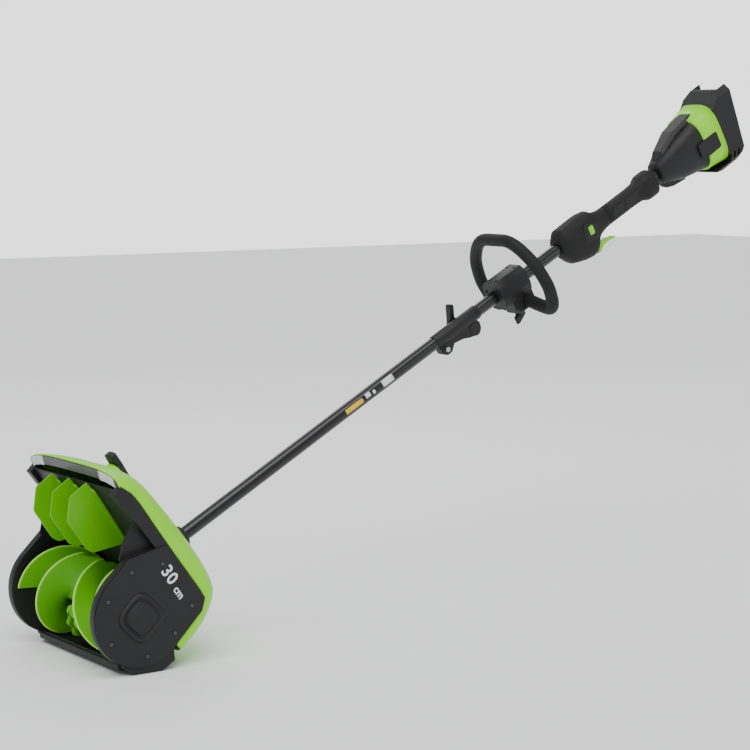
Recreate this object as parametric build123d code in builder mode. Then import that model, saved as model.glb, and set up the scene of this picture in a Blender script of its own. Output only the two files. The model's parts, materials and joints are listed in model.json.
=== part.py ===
from build123d import *
import os
from math import asin, atan2, cos, hypot, pi, radians, sin

os.makedirs("parts", exist_ok=True)

# Cordless snow shovel, in millimetres, in its working pose: +Z up, the auger mouth faces -Y,
# the shaft rises towards +Y, and +X is the operator's left.

# Clearing head
clearing_width = 300.0          # between the side cases
auger_height = 100.0            # auger axis above the ground
auger_radius = 79.0
auger_pitch = 150.0             # axial advance of a flight in one turn
flight_wall = 3.0
hub_radius = 15.0
trough_gap = 5.0                # auger tip to trough
trough_wall = 3.0
case_depth = 17.0               # each side case, across the machine
case_radius = 88.0              # round front of the side case
case_wall = 3.0
cover_wall = 3.0                # flat side cover
roof_slope = 57.0               # chute roof above the ground, degrees
roof_length = 205.0
hood_wall = 3.0
hood_half_width = 166.5

# Discharge vanes
vane_pitch = 65.0               # from one vane to the next
vane_pivot = 160.0              # along the roof from where it leaves the trough
vane_low = 75.0
vane_high = 210.0
vane_depth = 69.0
vane_wall = 3.0
vane_round = 11.0
vane_swing = 25.0               # each way, degrees
pivot_radius = 5.0
crank_throw = 14.0
crown_lift = 75.5               # hood crown above the roof at the vane pivots

# Shaft
shaft_tilt = 29.3               # degrees above the ground
shaft_drop = 3.8                # shaft axis below the auger axis
shaft_start = 211.7             # from the auger axis to the shaft's zero station
tube_radius = 12.7
tube_wall = 1.6
split_station = 690.0           # where the two tubes meet
tube_end = 1296.0
sleeve_start = 632.0
sleeve_end = 747.0

# Drive train
cross_station = -109.5          # crossing of the drive shaft and the cross shaft
gear_module = 1.0
pinion_teeth = 11
gear_teeth = 22
face_width = 3.6
pinion_bore = 2.0
drive_shaft_radius = 3.0
cross_shaft_radius = 4.0
axle_radius = 6.0
small_pulley_radius = 7.0
large_pulley_radius = 42.0
belt_width = 6.5
belt_thickness = 2.0
bearing_wall = 6.0

# Handles
loop_station = 855.0
loop_radius = 12.5
loop_height = 98.0
housing_start = 982.0
housing_end = 1100.0
grip_end = 1222.0
collar_end = 1262.0
motor_start = 1280.0
motor_radius = 29.0
motor_station = 1352.0
motor_length = 46.0

# Fits
running_gap = 0.05
hood_gap = 0.4

half_width = clearing_width / 2
outer_face = half_width + case_depth
trough_radius = auger_radius + trough_gap
shell_radius = trough_radius + trough_wall
tilt = radians(shaft_tilt)
along = Vector(0, cos(tilt), sin(tilt))
across = Vector(0, -sin(tilt), cos(tilt))
auger_centre = Vector(0, 0, auger_height)
zero_point = auger_centre - across * shaft_drop + along * shaft_start
slope = radians(roof_slope)
roof_along = Vector(0, -cos(slope), sin(slope))
roof_out = Vector(0, sin(slope), cos(slope))
roof_start = auger_centre + roof_out * trough_radius


def shaft_point(s, n=0.0, x=0.0):
    return zero_point + along * s + across * n + Vector(x, 0, 0)


def cross_plane(s, n=0.0, x=0.0):
    # Square to the shaft: local x runs to -X and local y runs up.
    return Plane(origin=shaft_point(s, n, x), x_dir=(-1, 0, 0), z_dir=along)


def side_plane(x=0.0):
    # Along the shaft: local x is the station, local y is up from the axis, normal is +X.
    return Plane(origin=zero_point + Vector(x, 0, 0), x_dir=along, z_dir=(1, 0, 0))


def head_plane(x=0.0):
    # Side view of the head: local x is Y, local y is Z, normal is +X.
    return Plane(origin=(x, 0, 0), x_dir=(0, 1, 0), z_dir=(1, 0, 0))


def roof_plane(lift=0.0, e=0.0, x=0.0):
    # On the chute roof: local x runs to -X, local y runs up the roof, normal points out of the hood.
    origin = roof_start + roof_along * e + roof_out * lift + Vector(x, 0, 0)
    return Plane(origin=origin, x_dir=(-1, 0, 0), z_dir=roof_out)


def roof_side_plane(x=0.0):
    # Section of the chute: local x runs up the roof, local y into the chute, normal is +X.
    return Plane(origin=roof_start + Vector(x, 0, 0), x_dir=roof_along, z_dir=(1, 0, 0))


pieces = {}


def keep(builder, label):
    # Files a finished piece under its name.
    builder.part.label = label
    pieces[label] = builder.part


# ---------------------------------------------------------------- auger
auger_tip = half_width - 4


with BuildPart() as auger_envelope:
    # Everything the auger may fill: scalloped in the middle, plain towards the ends.
    with BuildSketch(Plane.XY):
        with BuildLine():
            waves = [(0, 50), (5, 55), (10, 53), (15, 62), (20, 61), (26, 71), (31, 71), (37, auger_radius)]
            rim = [(-x, r) for x, r in reversed(waves[1:])] + waves
            edge = Spline(*rim)
            Polyline(edge @ 1, (auger_tip, auger_radius), (auger_tip, 0), (-auger_tip, 0),
                     (-auger_tip, auger_radius), edge @ 0)
        make_face()
    revolve(axis=Axis.X)
envelope = auger_envelope.part.moved(Location(auger_centre))


def flight(start_angle):
    # One screw flight from the middle of the auger out to the left side wall.
    with BuildPart(mode=Mode.PRIVATE) as blade:
        with BuildLine() as path:
            Helix(auger_pitch, auger_tip, (auger_radius + hub_radius) / 2, center=auger_centre,
                  direction=(1, 0, 0))
        start = path.line @ 0
        with BuildSketch(Plane(origin=start, x_dir=start - auger_centre, z_dir=path.line % 0)):
            Rectangle(auger_radius - hub_radius + 8, flight_wall)
        sweep(path=path.line, is_frenet=True)
    return blade.part.rotate(Axis(auger_centre, (1, 0, 0)), start_angle) & envelope


with BuildPart() as auger:
    # Hub tube with two flights of each hand; all four meet in the middle.
    with BuildSketch(head_plane(-auger_tip)):
        with Locations((0, auger_height)):
            Circle(hub_radius)
            Circle(axle_radius, mode=Mode.SUBTRACT)
    extrude(amount=2 * auger_tip)
    for start_angle in (-84, 96):
        screw = flight(start_angle)
        add(screw)
        add(screw.mirror(Plane.YZ))
keep(auger, "auger")

with BuildPart() as auger_axle:
    # Steel axle through the auger, with a shoulder nut beyond the driven pulley.
    with BuildSketch(head_plane(-half_width - bearing_wall - 2)):
        with Locations((0, auger_height)):
            Circle(axle_radius)
    extrude(amount=clearing_width + 2 * bearing_wall + 4 + belt_width + 2)
keep(auger_axle, "auger_axle")

# ---------------------------------------------------------------- head shell
arm_tip = (-34, 325)
arm_root = (-14, 311)
slope_top = (2, 291)
rear_corner = (125, 118)
rear_foot = (119, 95)


def on_circle(radius, angle):
    # Point on a circle about the auger axis, angle from +Y towards +Z.
    return (radius * cos(radians(angle)), auger_height + radius * sin(radians(angle)))


lower_tangent = on_circle(case_radius, -42.5)
upper_tangent = on_circle(case_radius, 135)


def case_outline(inset=0.0):
    # Flat outline shared by the side case and its cover.
    with BuildSketch(Plane.XY, mode=Mode.PRIVATE) as outline:
        with Locations((0, auger_height)):
            Circle(case_radius)
        with BuildLine():
            Polyline(upper_tangent, (-22, 202), (44, 217), (53, 216), rear_corner, rear_foot, lower_tangent,
                     (0, auger_height), close=True)
        make_face()
        if inset:
            offset(amount=-inset)
    return outline.sketch


def arm_outline(inset=0.0):
    # Outline of the arm that reaches from the side case up to the hood's front corner.
    with BuildSketch(Plane.XY, mode=Mode.PRIVATE) as outline:
        Polygon(arm_tip, arm_root, slope_top, rear_corner, (53, 200), (30, 214), (-2, 256), (-31, 289),
                (-48, 311), align=None)
        if inset:
            offset(amount=-inset)
    return outline.sketch


screw_spots = [(41.7, 186), (-17.6, 177.8), (-62.8, 132.6), (-58.3, 59.9), (10.5, 29.9), (64, 63.4),
               (97.6, 107)]
cross_y = shaft_point(cross_station).Y
cross_z = shaft_point(cross_station).Z
cross_spot = (cross_y, cross_z)
pulley_span = hypot(cross_y, cross_z - auger_height)
bearing_bore = axle_radius + 6
cross_bearing = cross_shaft_radius + 5


def side_case(side):
    # Side case: arm to the hood, thin chute gusset, belt well with screw pillars and two bearing seats.
    floor = side * half_width
    with BuildPart(mode=Mode.PRIVATE) as case:
        with BuildSketch(head_plane(floor)):
            add(case_outline())
            add(arm_outline())
        extrude(amount=side * case_depth)
        with BuildSketch(head_plane(floor)):
            Polygon((-9, 257), (-26, 224), (-32, 197), (0, 190), (36, 213), align=None)
        extrude(amount=side * case_wall)
        with BuildSketch(head_plane(floor + side * case_wall)):
            add(case_outline(case_wall))
            if side > 0:
                with Locations(cross_spot):
                    Circle(small_pulley_radius + belt_thickness + 0.8)
        extrude(amount=side * case_depth, mode=Mode.SUBTRACT)
        with BuildSketch(head_plane(floor + side * case_wall)):
            with Locations(*screw_spots):
                Circle(4.5)
        extrude(amount=side * (case_depth - case_wall))
        with BuildSketch(head_plane(outer_face)):
            with Locations(*screw_spots):
                Circle(1.5)
        extrude(amount=-12, mode=Mode.SUBTRACT)
        with BuildSketch(head_plane(-outer_face)):
            with Locations(*screw_spots):
                Circle(1.5)
        extrude(amount=12, mode=Mode.SUBTRACT)
        with BuildSketch(head_plane(floor)):
            with Locations((0, auger_height)):
                Circle(bearing_bore + 3)
            if side > 0:
                with Locations(cross_spot):
                    Circle(cross_bearing + 2.5)
        extrude(amount=side * (bearing_wall + 0.5))
        with BuildSketch(head_plane(floor - side)):
            with Locations((0, auger_height)):
                Circle(bearing_bore)
            if side > 0:
                with Locations(cross_spot):
                    Circle(cross_bearing)
        extrude(amount=side * (bearing_wall + 3), mode=Mode.SUBTRACT)
    return case.part


with BuildPart() as left_side_case:
    add(side_case(1))
keep(left_side_case, "left_side_case")

with BuildPart() as right_side_case:
    add(side_case(-1))
keep(right_side_case, "right_side_case")


def side_cover(side):
    # Flat cover with countersunk screw holes and a raised square boss over the axle.
    with BuildPart(mode=Mode.PRIVATE) as cover:
        with BuildSketch(head_plane(side * outer_face)):
            add(case_outline(0.8))
        extrude(amount=side * cover_wall)
        with BuildSketch(head_plane(side * (outer_face + cover_wall))):
            with Locations((-1, auger_height - 1.5)):
                RectangleRounded(64, 64, 14, rotation=45)
        extrude(amount=side * 5, taper=30)
        with BuildSketch(head_plane(side * outer_face)):
            with Locations(*screw_spots):
                Circle(1.9)
        extrude(amount=side * cover_wall, mode=Mode.SUBTRACT)
        with BuildSketch(head_plane(side * (outer_face + cover_wall))):
            with Locations(*screw_spots):
                Circle(4)
        extrude(amount=-side * 1.6, mode=Mode.SUBTRACT)
    return cover.part


with BuildPart() as left_side_cover:
    add(side_cover(1))
keep(left_side_cover, "left_side_cover")

with BuildPart() as right_side_cover:
    add(side_cover(-1))
keep(right_side_cover, "right_side_cover")

with BuildPart() as side_cover_screws:
    for side in (1, -1):
        with BuildSketch(head_plane(side * (outer_face + cover_wall - 1.6))):
            with Locations(*screw_spots):
                Circle(3.6)
        extrude(amount=side * 1.5)
        with BuildSketch(head_plane(side * (outer_face + cover_wall))):
            with Locations(*screw_spots):
                RegularPolygon(1.5, 6)
        extrude(amount=-side * 1.2, mode=Mode.SUBTRACT)
        with BuildSketch(head_plane(side * (outer_face + cover_wall - 1.6))):
            with Locations(*screw_spots):
                Circle(1.45)
        extrude(amount=-side * 12)
keep(side_cover_screws, "side_cover_screws")

roof_end = roof_start + roof_along * roof_length
liner_start = -112
with BuildPart() as chute_liner:
    # One curved sheet: the auger trough, then the chute roof the vanes hang from.
    with BuildSketch(head_plane(-half_width)):
        with BuildLine():
            sweep_angle = 90 - roof_slope - liner_start
            inside = CenterArc((0, auger_height), trough_radius, liner_start, sweep_angle)
            outside = CenterArc((0, auger_height), shell_radius, liner_start, sweep_angle)
            inner_end = (roof_end.Y, roof_end.Z)
            outer_end = roof_end + roof_out * trough_wall
            Line(inside @ 0, outside @ 0)
            Line(inside @ 1, inner_end)
            Line(inner_end, (outer_end.Y, outer_end.Z))
            Line((outer_end.Y, outer_end.Z), outside @ 1)
        make_face()
    extrude(amount=clearing_width)
    for number in (-1, 0, 1):
        with BuildSketch(roof_plane(-1, vane_pivot, number * vane_pitch)):
            Circle(pivot_radius + running_gap)
        extrude(amount=trough_wall + 4, mode=Mode.SUBTRACT)
keep(chute_liner, "chute_liner")

# Hood stations: base point in side view, outward angle from +Y, height of the crown.
hood_stations = [
    ((-38, 323.5), 108, 29),
    ((-14, 311.5), 72, 36),
    ((3, 291.5), 50, 46),
    ((51.5, 219.5), 37, 60),
    ((100, 154), 36, 62),
    ((126, 118), 12, 56),
    ((107, 83), -35, 50),
    ((66, 41), -42, 42),
]


collar_radius = 25.0
with BuildPart() as hood_cover:
    # Pillow-shaped shell lofted through half-elliptical ribs, open towards the chute and the front.
    for (y, z), angle, crown in hood_stations:
        out = Vector(0, cos(radians(angle)), sin(radians(angle)))
        with BuildSketch(Plane(origin=(0, y, z), x_dir=(1, 0, 0), z_dir=Vector(1, 0, 0).cross(out))):
            inner_half = hood_half_width - hood_wall
            with BuildLine():
                EllipticalCenterArc((0, 0), hood_half_width, crown, arc_size=180)
                Line((-hood_half_width, 0), (-inner_half, 0))
                EllipticalCenterArc((0, 0), inner_half, crown - hood_wall, arc_size=180)
                Line((inner_half, 0), (hood_half_width, 0))
            make_face()
    loft(ruled=True)
    # Boss that carries the selector shaft and seats the direction knob.
    with BuildSketch(roof_plane(crown_lift - 16, vane_pivot - 8)):
        Circle(28.5)
    extrude(amount=16)
    with BuildSketch(head_plane(-outer_face)):
        add(case_outline(-hood_gap))
        add(arm_outline(-hood_gap))
    extrude(amount=2 * outer_face, mode=Mode.SUBTRACT)
    with BuildSketch(cross_plane(-80)):
        Circle(tube_radius + 4)
    extrude(amount=100, mode=Mode.SUBTRACT)
    with BuildSketch(roof_plane(20, vane_pivot)):
        Circle(pivot_radius + running_gap)
    extrude(amount=80, mode=Mode.SUBTRACT)
keep(hood_cover, "hood_cover")


front_out = Vector(0, cos(radians(hood_stations[0][1])), sin(radians(hood_stations[0][1])))
front_plane = Plane(origin=(0, *hood_stations[0][0]), x_dir=(1, 0, 0), z_dir=Vector(1, 0, 0).cross(front_out))
front_crown = hood_stations[0][2] - hood_wall
band_wall = 2.5
band_gap = 2.6
lamp_inner = 104.0
lamp_outer = 154.0


def front_arch(inset):
    # Half ellipse that closes the hood's front opening.
    with BuildSketch(Plane.XY, mode=Mode.PRIVATE) as arch:
        half = hood_half_width - hood_wall - inset
        with BuildLine():
            EllipticalCenterArc((0, 0), half, front_crown - inset, arc_size=180)
            Line((-half, 0), (half, 0))
        make_face()
    return arch.sketch


with BuildPart() as front_band:
    with BuildSketch(front_plane.offset(-band_wall)):
        add(front_arch(band_gap))
        with Locations((0, 6 - 3)):
            Rectangle(clearing_width - 1, 12)
        for side in (1, -1):
            with Locations((side * (outer_face - 9), 0)):
                Rectangle(17, 2, mode=Mode.SUBTRACT)
    extrude(amount=band_wall)
    with BuildSketch(front_plane.offset(-band_wall)):
        for side in (1, -1):
            with Locations((side * (lamp_inner + lamp_outer) / 2, 16)):
                Rectangle(lamp_outer - lamp_inner, 28)
    extrude(amount=band_wall, mode=Mode.SUBTRACT)
keep(front_band, "front_band")

lamp_middle = (lamp_inner + lamp_outer) / 2
lamp_width = lamp_outer - lamp_inner
with BuildPart() as headlight_lenses:
    with BuildSketch(front_plane.offset(1 - band_wall)):
        with Locations((-lamp_middle, 16), (lamp_middle, 16)):
            Rectangle(lamp_width - 0.4, 27.6)
        add(front_arch(band_gap), mode=Mode.INTERSECT)
    extrude(amount=band_wall)
keep(headlight_lenses, "headlight_lenses")

with BuildPart() as led_boards:
    # Lamp boards behind the lenses, each with a raised emitter block.
    with BuildSketch(front_plane.offset(-band_wall - 4)):
        with Locations((-lamp_middle + 8, 7), (lamp_middle - 8, 7)):
            Rectangle(26, 8)
    extrude(amount=1.6)
    with BuildSketch(front_plane.offset(-band_wall - 2.4)):
        with Locations((-lamp_middle + 8, 7), (lamp_middle - 8, 7)):
            Rectangle(5, 5)
    extrude(amount=1.5)
keep(led_boards, "led_boards")

with BuildPart() as skid_shoes:
    # One wear shoe under each side case.
    for side in (1, -1):
        with BuildSketch(head_plane(side * (half_width + 2))):
            with BuildLine():
                Polyline((-33, 14), (-14, 0), (41, 0), (66, 15), (64, 38), (0, 60), (-33, 40), close=True)
            make_face()
            add(case_outline(-0.2), mode=Mode.SUBTRACT)
        extrude(amount=side * (case_depth - 4))
keep(skid_shoes, "skid_shoes")

with BuildPart() as scraper_bar:
    with BuildSketch(head_plane(-half_width)):
        with BuildLine():
            Polyline((-36, 8), (-30, 7), (6, 9.5), (6, 14), (-30, 22), (-36, 18), close=True)
        make_face()
        with Locations((0, auger_height)):
            Circle(shell_radius + 0.1, mode=Mode.SUBTRACT)
    extrude(amount=clearing_width)
keep(scraper_bar, "scraper_bar")

# ---------------------------------------------------------------- belt drive and bearings
pulley_start = half_width + bearing_wall + 1.8
auger_spot = (0, auger_height)


def bearing_ring(builder_plane, spot, bore, outer, width):
    # Plain bearing: outer race, inner race and shields as one sealed ring.
    with BuildPart(mode=Mode.PRIVATE) as ring:
        with BuildSketch(builder_plane):
            with Locations(spot):
                Circle(outer)
                Circle(bore, mode=Mode.SUBTRACT)
        extrude(amount=width)
        with BuildSketch(builder_plane.offset(width - 0.6)):
            with Locations(spot):
                Circle(outer - 1.4)
                Circle(bore + 1.4, mode=Mode.SUBTRACT)
        extrude(amount=0.6, mode=Mode.SUBTRACT)
    return ring.part



def flat_pulley(radius, bore, spot):
    # Flanged pulley; a large one is lightened down to its web and pierced.
    with BuildPart(mode=Mode.PRIVATE) as wheel:
        with BuildSketch(head_plane(pulley_start - 1.2)):
            with Locations(spot):
                Circle(radius + 1.4)
        extrude(amount=1.2)
        with BuildSketch(head_plane(pulley_start)):
            with Locations(spot):
                Circle(radius)
        extrude(amount=belt_width + 0.6)
        if bore:
            with BuildSketch(head_plane(pulley_start + 2)):
                with Locations(spot):
                    Circle(radius - 3)
                    Circle(bore + 4, mode=Mode.SUBTRACT)
            extrude(amount=belt_width, mode=Mode.SUBTRACT)
            with BuildSketch(head_plane(pulley_start - 2)):
                with Locations(spot):
                    with PolarLocations((radius + bore) / 2, 6):
                        Circle((radius - bore) / 4.5)
            extrude(amount=8, mode=Mode.SUBTRACT)
            with BuildSketch(head_plane(pulley_start - 3)):
                with Locations(spot):
                    Circle(bore)
            extrude(amount=belt_width + 8, mode=Mode.SUBTRACT)
    return wheel.part


with BuildPart() as driven_pulley:
    add(flat_pulley(large_pulley_radius, axle_radius, auger_spot))
keep(driven_pulley, "driven_pulley")


def belt_outline(extra):
    # Hull of the two pulley circles, grown by extra.
    lean = asin((large_pulley_radius - small_pulley_radius) / pulley_span)
    heading = atan2(cross_z - auger_height, cross_y)
    big = large_pulley_radius + extra
    small = small_pulley_radius + extra
    ends = []
    for turn in (pi / 2 - lean, -pi / 2 + lean):
        way = heading + turn
        ends.append((big * cos(way), auger_height + big * sin(way)))
        ends.append((cross_y + small * cos(way), cross_z + small * sin(way)))
    with BuildSketch(Plane.XY, mode=Mode.PRIVATE) as loop:
        with Locations(auger_spot):
            Circle(big)
        with Locations(cross_spot):
            Circle(small)
        with BuildLine():
            Polyline(ends[0], ends[1], ends[3], ends[2], close=True)
        make_face()
    return loop.sketch


with BuildPart() as drive_belt:
    with BuildSketch(head_plane(pulley_start + 0.3)):
        add(belt_outline(belt_thickness))
        add(belt_outline(0.1), mode=Mode.SUBTRACT)
    extrude(amount=belt_width)
keep(drive_belt, "drive_belt")

# ---------------------------------------------------------------- gearbox
apex = shaft_point(cross_station)
pinion_cone = atan2(pinion_teeth, gear_teeth)
gear_cone = pi / 2 - pinion_cone
cone_distance = gear_module * hypot(pinion_teeth, gear_teeth) / 2
tooth_scale = (cone_distance - face_width) / cone_distance


def bevel_gear(axis, reference, teeth, cone, bore, hub_radius_, hub_end, first_angle):
    # Straight bevel gear with its cone's tip at the crossing of the two shafts.
    root_r = cone_distance * sin(cone) - 1.25 * gear_module * cos(cone)
    root_a = cone_distance * cos(cone) + 1.25 * gear_module * sin(cone)
    with BuildPart(mode=Mode.PRIVATE) as gear:
        with BuildSketch(Plane(origin=apex, x_dir=reference, z_dir=reference.cross(axis))):
            with BuildLine():
                Polyline((bore, root_a * tooth_scale), (root_r * tooth_scale, root_a * tooth_scale),
                         (root_r, root_a), (hub_radius_, root_a + 0.5), (hub_radius_, hub_end),
                         (bore, hub_end),
                         close=True)
            make_face()
        revolve(axis=Axis(apex, axis))
        for number in range(teeth):
            angle = first_angle + 2 * pi * number / teeth
            radial = reference * cos(angle) + axis.cross(reference) * sin(angle)
            ray = axis * cos(cone) + radial * sin(cone)
            tangent = axis.cross(radial)
            for scale in (1.0, tooth_scale):
                with BuildSketch(Plane(origin=apex + ray * cone_distance * scale, x_dir=tangent, z_dir=ray)):
                    unit = gear_module * scale
                    up = 1 if ray.cross(tangent).dot(radial) > 0 else -1
                    Polygon((-0.95 * unit, -1.4 * up * unit), (0.95 * unit, -1.4 * up * unit),
                            (0.28 * unit, 0.85 * up * unit), (-0.28 * unit, 0.85 * up * unit), align=None)
            loft()
    return gear.part


left = Vector(1, 0, 0)
gear_hub_end = 15.0
pinion_hub_end = 24.0
with BuildPart() as bevel_wheel:
    add(bevel_gear(left, along, gear_teeth, gear_cone, cross_shaft_radius, 7, gear_hub_end - 0.3, 0))
keep(bevel_wheel, "bevel_wheel")

with BuildPart() as bevel_pinion:
    add(bevel_gear(along, left, pinion_teeth, pinion_cone, pinion_bore, 4.6, pinion_hub_end, pi / pinion_teeth))
keep(bevel_pinion, "bevel_pinion")

with BuildPart() as cross_shaft:
    # Cross shaft turned in one piece with the small belt pulley.
    with BuildSketch(head_plane(-19)):
        with Locations(cross_spot):
            Circle(cross_shaft_radius)
    extrude(amount=19 + pulley_start)
    add(flat_pulley(small_pulley_radius, 0, cross_spot))
keep(cross_shaft, "cross_shaft")

gear_bay = cone_distance * sin(gear_cone) + 1.3
box_wall = 1.8
seat_start = cross_station + pinion_hub_end + 0.5
seat_end = seat_start + 12
box_end = seat_end + 26
with BuildPart() as gearbox_case:
    with BuildSketch(cross_plane(cross_station)):
        Circle(gear_bay + box_wall)
    extrude(amount=seat_end - cross_station)
    with BuildSketch(cross_plane(seat_end)):
        Circle(tube_radius + 3.5)
    extrude(amount=box_end - seat_end)
    with BuildSketch(head_plane(-19)):
        with Locations(cross_spot):
            Circle(gear_bay + box_wall)
    extrude(amount=19 + gear_hub_end + 6)
    with BuildSketch(head_plane(-6)):
        with Locations(cross_spot):
            Circle(gear_bay)
    extrude(amount=6 + gear_hub_end, mode=Mode.SUBTRACT)
    with BuildSketch(head_plane(-17)):
        with Locations(cross_spot):
            Circle(cross_bearing)
    extrude(amount=17 + gear_hub_end + 8, mode=Mode.SUBTRACT)
    with BuildSketch(head_plane(-20)):
        with Locations(cross_spot):
            Circle(cross_shaft_radius + 1)
    extrude(amount=10, mode=Mode.SUBTRACT)
    with BuildSketch(cross_plane(cross_station)):
        Circle(drive_shaft_radius + 5)
    extrude(amount=seat_end - cross_station, mode=Mode.SUBTRACT)
    with BuildSketch(cross_plane(seat_end)):
        Circle(tube_radius)
    extrude(amount=box_end - seat_end + 1, mode=Mode.SUBTRACT)
keep(gearbox_case, "gearbox_case")

with BuildPart() as head_bearings:
    for start in (half_width + 0.2, -half_width - bearing_wall - 0.2):
        add(bearing_ring(head_plane(start), auger_spot, axle_radius + running_gap, bearing_bore, bearing_wall))
    add(bearing_ring(head_plane(-16.8), cross_spot, cross_shaft_radius + running_gap, cross_bearing, 5))
    add(bearing_ring(head_plane(gear_hub_end + 0.3), cross_spot, cross_shaft_radius + running_gap, cross_bearing, 5))
    add(bearing_ring(head_plane(half_width + 0.2), cross_spot, cross_shaft_radius + running_gap, cross_bearing, 5))
    for station in (seat_start, seat_start + 6):
        add(bearing_ring(cross_plane(station), (0, 0), drive_shaft_radius + running_gap, drive_shaft_radius + 5, 5))
keep(head_bearings, "head_bearings")

# ---------------------------------------------------------------- discharge vanes
vane_lift = 0.8                 # running clearance under the roof
flange_wall = 4.0
crank_lift = 7.0
crank_wall = 4.0
bar_wall = 3.5


def vane(number):
    # Fan blade on a rounded foot, with its pivot stem through the roof.
    x = number * vane_pitch
    with BuildPart(mode=Mode.PRIVATE) as blade:
        with BuildSketch(roof_side_plane(x - vane_wall / 2)):
            with BuildLine():
                Polyline((vane_low, vane_lift + 1), (vane_low + 27, vane_depth - 7), (vane_low + 40, vane_depth - 1),
                         (177, vane_depth), (vane_high - 1, 42), (vane_high, vane_lift + 3),
                         (195, vane_lift + 1), close=True)
            make_face()
            fillet(vertices().filter_by(lambda corner: corner.Y > 30), vane_round)
        extrude(amount=vane_wall)
        with BuildSketch(roof_plane(-vane_lift, (vane_low + 8 + 195) / 2, x)):
            SlotOverall(195 - vane_low - 8, 17, rotation=90)
        extrude(amount=-flange_wall)
        with BuildSketch(roof_plane(-vane_lift - 1, vane_pivot, x)):
            Circle(pivot_radius)
        extrude(amount=vane_lift + 1 + crank_lift)
    return blade.part


def crank(number):
    # Crank plate on a vane's stem, with the pin that the tie bar drives.
    x = number * vane_pitch
    with BuildPart(mode=Mode.PRIVATE) as plate:
        with BuildSketch(roof_plane(crank_lift, vane_pivot, x)):
            Circle(8)
            with Locations((0, crank_throw)):
                Circle(5)
            with Locations((0, crank_throw / 2)):
                Rectangle(9, crank_throw)
        extrude(amount=crank_wall)
        with BuildSketch(roof_plane(crank_lift + crank_wall, vane_pivot + crank_throw, x)):
            Circle(2.5)
        extrude(amount=bar_wall + 2)
    return plate.part


with BuildPart() as left_vane:
    add(vane(1))
keep(left_vane, "left_vane")
with BuildPart() as centre_vane:
    add(vane(0))
keep(centre_vane, "centre_vane")
with BuildPart() as right_vane:
    add(vane(-1))
keep(right_vane, "right_vane")
with BuildPart() as left_crank:
    add(crank(1))
keep(left_crank, "left_crank")
with BuildPart() as selector_crank:
    # The middle crank is forged in one with the shaft that carries the direction knob.
    add(crank(0))
    with BuildSketch(roof_plane(crank_lift + crank_wall, vane_pivot)):
        Circle(pivot_radius)
    extrude(amount=crown_lift + 6 - crank_lift - crank_wall)
keep(selector_crank, "selector_crank")
with BuildPart() as right_crank:
    add(crank(-1))
keep(right_crank, "right_crank")

with BuildPart() as tie_bar:
    # Flat bar that swings all three cranks together; its slots take the cranks' rise and fall.
    with BuildSketch(roof_plane(crank_lift + crank_wall + 0.3, vane_pivot + crank_throw)):
        SlotOverall(2 * vane_pitch + 15, 14)
        for number in (-1, 0, 1):
            with Locations((number * vane_pitch, 0)):
                SlotOverall(9.2, 5.8, rotation=90, mode=Mode.SUBTRACT)
    extrude(amount=bar_wall)
keep(tie_bar, "tie_bar")

with BuildPart() as direction_knob:
    # Ribbed dome over the pivot with a finger paddle towards the front.
    with BuildSketch(roof_plane(crown_lift + 1.5, vane_pivot - 8)):
        Circle(27)
    extrude(amount=13, taper=8)
    with BuildSketch(roof_plane(crown_lift + 1.5, vane_pivot + 16)):
        RectangleRounded(30, 44, 6)
    extrude(amount=19, taper=6)
    with BuildSketch(roof_plane(crown_lift + 10, vane_pivot - 8)):
        with PolarLocations(29, 9, start_angle=180, angular_range=180):
            Circle(3)
    extrude(amount=12, mode=Mode.SUBTRACT)
    with BuildSketch(roof_plane(crown_lift, vane_pivot)):
        Circle(pivot_radius)
    extrude(amount=6, mode=Mode.SUBTRACT)
keep(direction_knob, "direction_knob")

# ---------------------------------------------------------------- tubes and drive shafts
tube_bore = tube_radius - tube_wall
half_gap = 0.25


def pipe(start, end, outer, inner):
    with BuildPart(mode=Mode.PRIVATE) as ring:
        with BuildSketch(cross_plane(start)):
            Circle(outer)
            if inner:
                Circle(inner, mode=Mode.SUBTRACT)
        extrude(amount=end - start)
    return ring.part


with BuildPart() as lower_tube:
    add(pipe(seat_end, split_station - half_gap, tube_radius, tube_bore))
keep(lower_tube, "lower_tube")

with BuildPart() as upper_tube:
    add(pipe(split_station + half_gap, tube_end, tube_radius, tube_bore))
keep(upper_tube, "upper_tube")

square_start = split_station - 26
socket_start = square_start + 4
rotor_front = motor_station - motor_length / 2
with BuildPart() as lower_drive_shaft:
    # Round shaft with a square end that plugs into the upper shaft's socket.
    add(pipe(cross_station + 8, cross_station + pinion_hub_end, pinion_bore, 0))
    add(pipe(cross_station + pinion_hub_end, square_start, drive_shaft_radius, 0))
    with BuildSketch(cross_plane(square_start)):
        Rectangle(4, 4)
    extrude(amount=24)
keep(lower_drive_shaft, "lower_drive_shaft")

with BuildPart() as upper_drive_shaft:
    with BuildSketch(cross_plane(socket_start)):
        Circle(6)
    extrude(amount=30)
    add(pipe(socket_start + 30, rotor_front, drive_shaft_radius, 0))
    with BuildSketch(cross_plane(socket_start - 1)):
        Rectangle(4.6, 4.6)
    extrude(amount=24, mode=Mode.SUBTRACT)
keep(upper_drive_shaft, "upper_drive_shaft")

with BuildPart() as shaft_bushes:
    for station in (80, 360, 600, 780, 1010, 1240):
        add(pipe(station, station + 18, tube_bore, drive_shaft_radius + running_gap))
keep(shaft_bushes, "shaft_bushes")

with BuildPart() as tube_collar:
    # Rubber boot where the tube leaves the hood.
    boot_start = -27
    boot_end = -9
    with BuildSketch(side_plane()):
        with BuildLine():
            Polyline((boot_start, tube_radius), (boot_end, tube_radius), (boot_end, tube_radius + 5),
                     (boot_end - 5, collar_radius - 2), (boot_start, collar_radius), close=True)
        make_face()
    revolve(axis=Axis(zero_point, along))
keep(tube_collar, "tube_collar")

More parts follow.
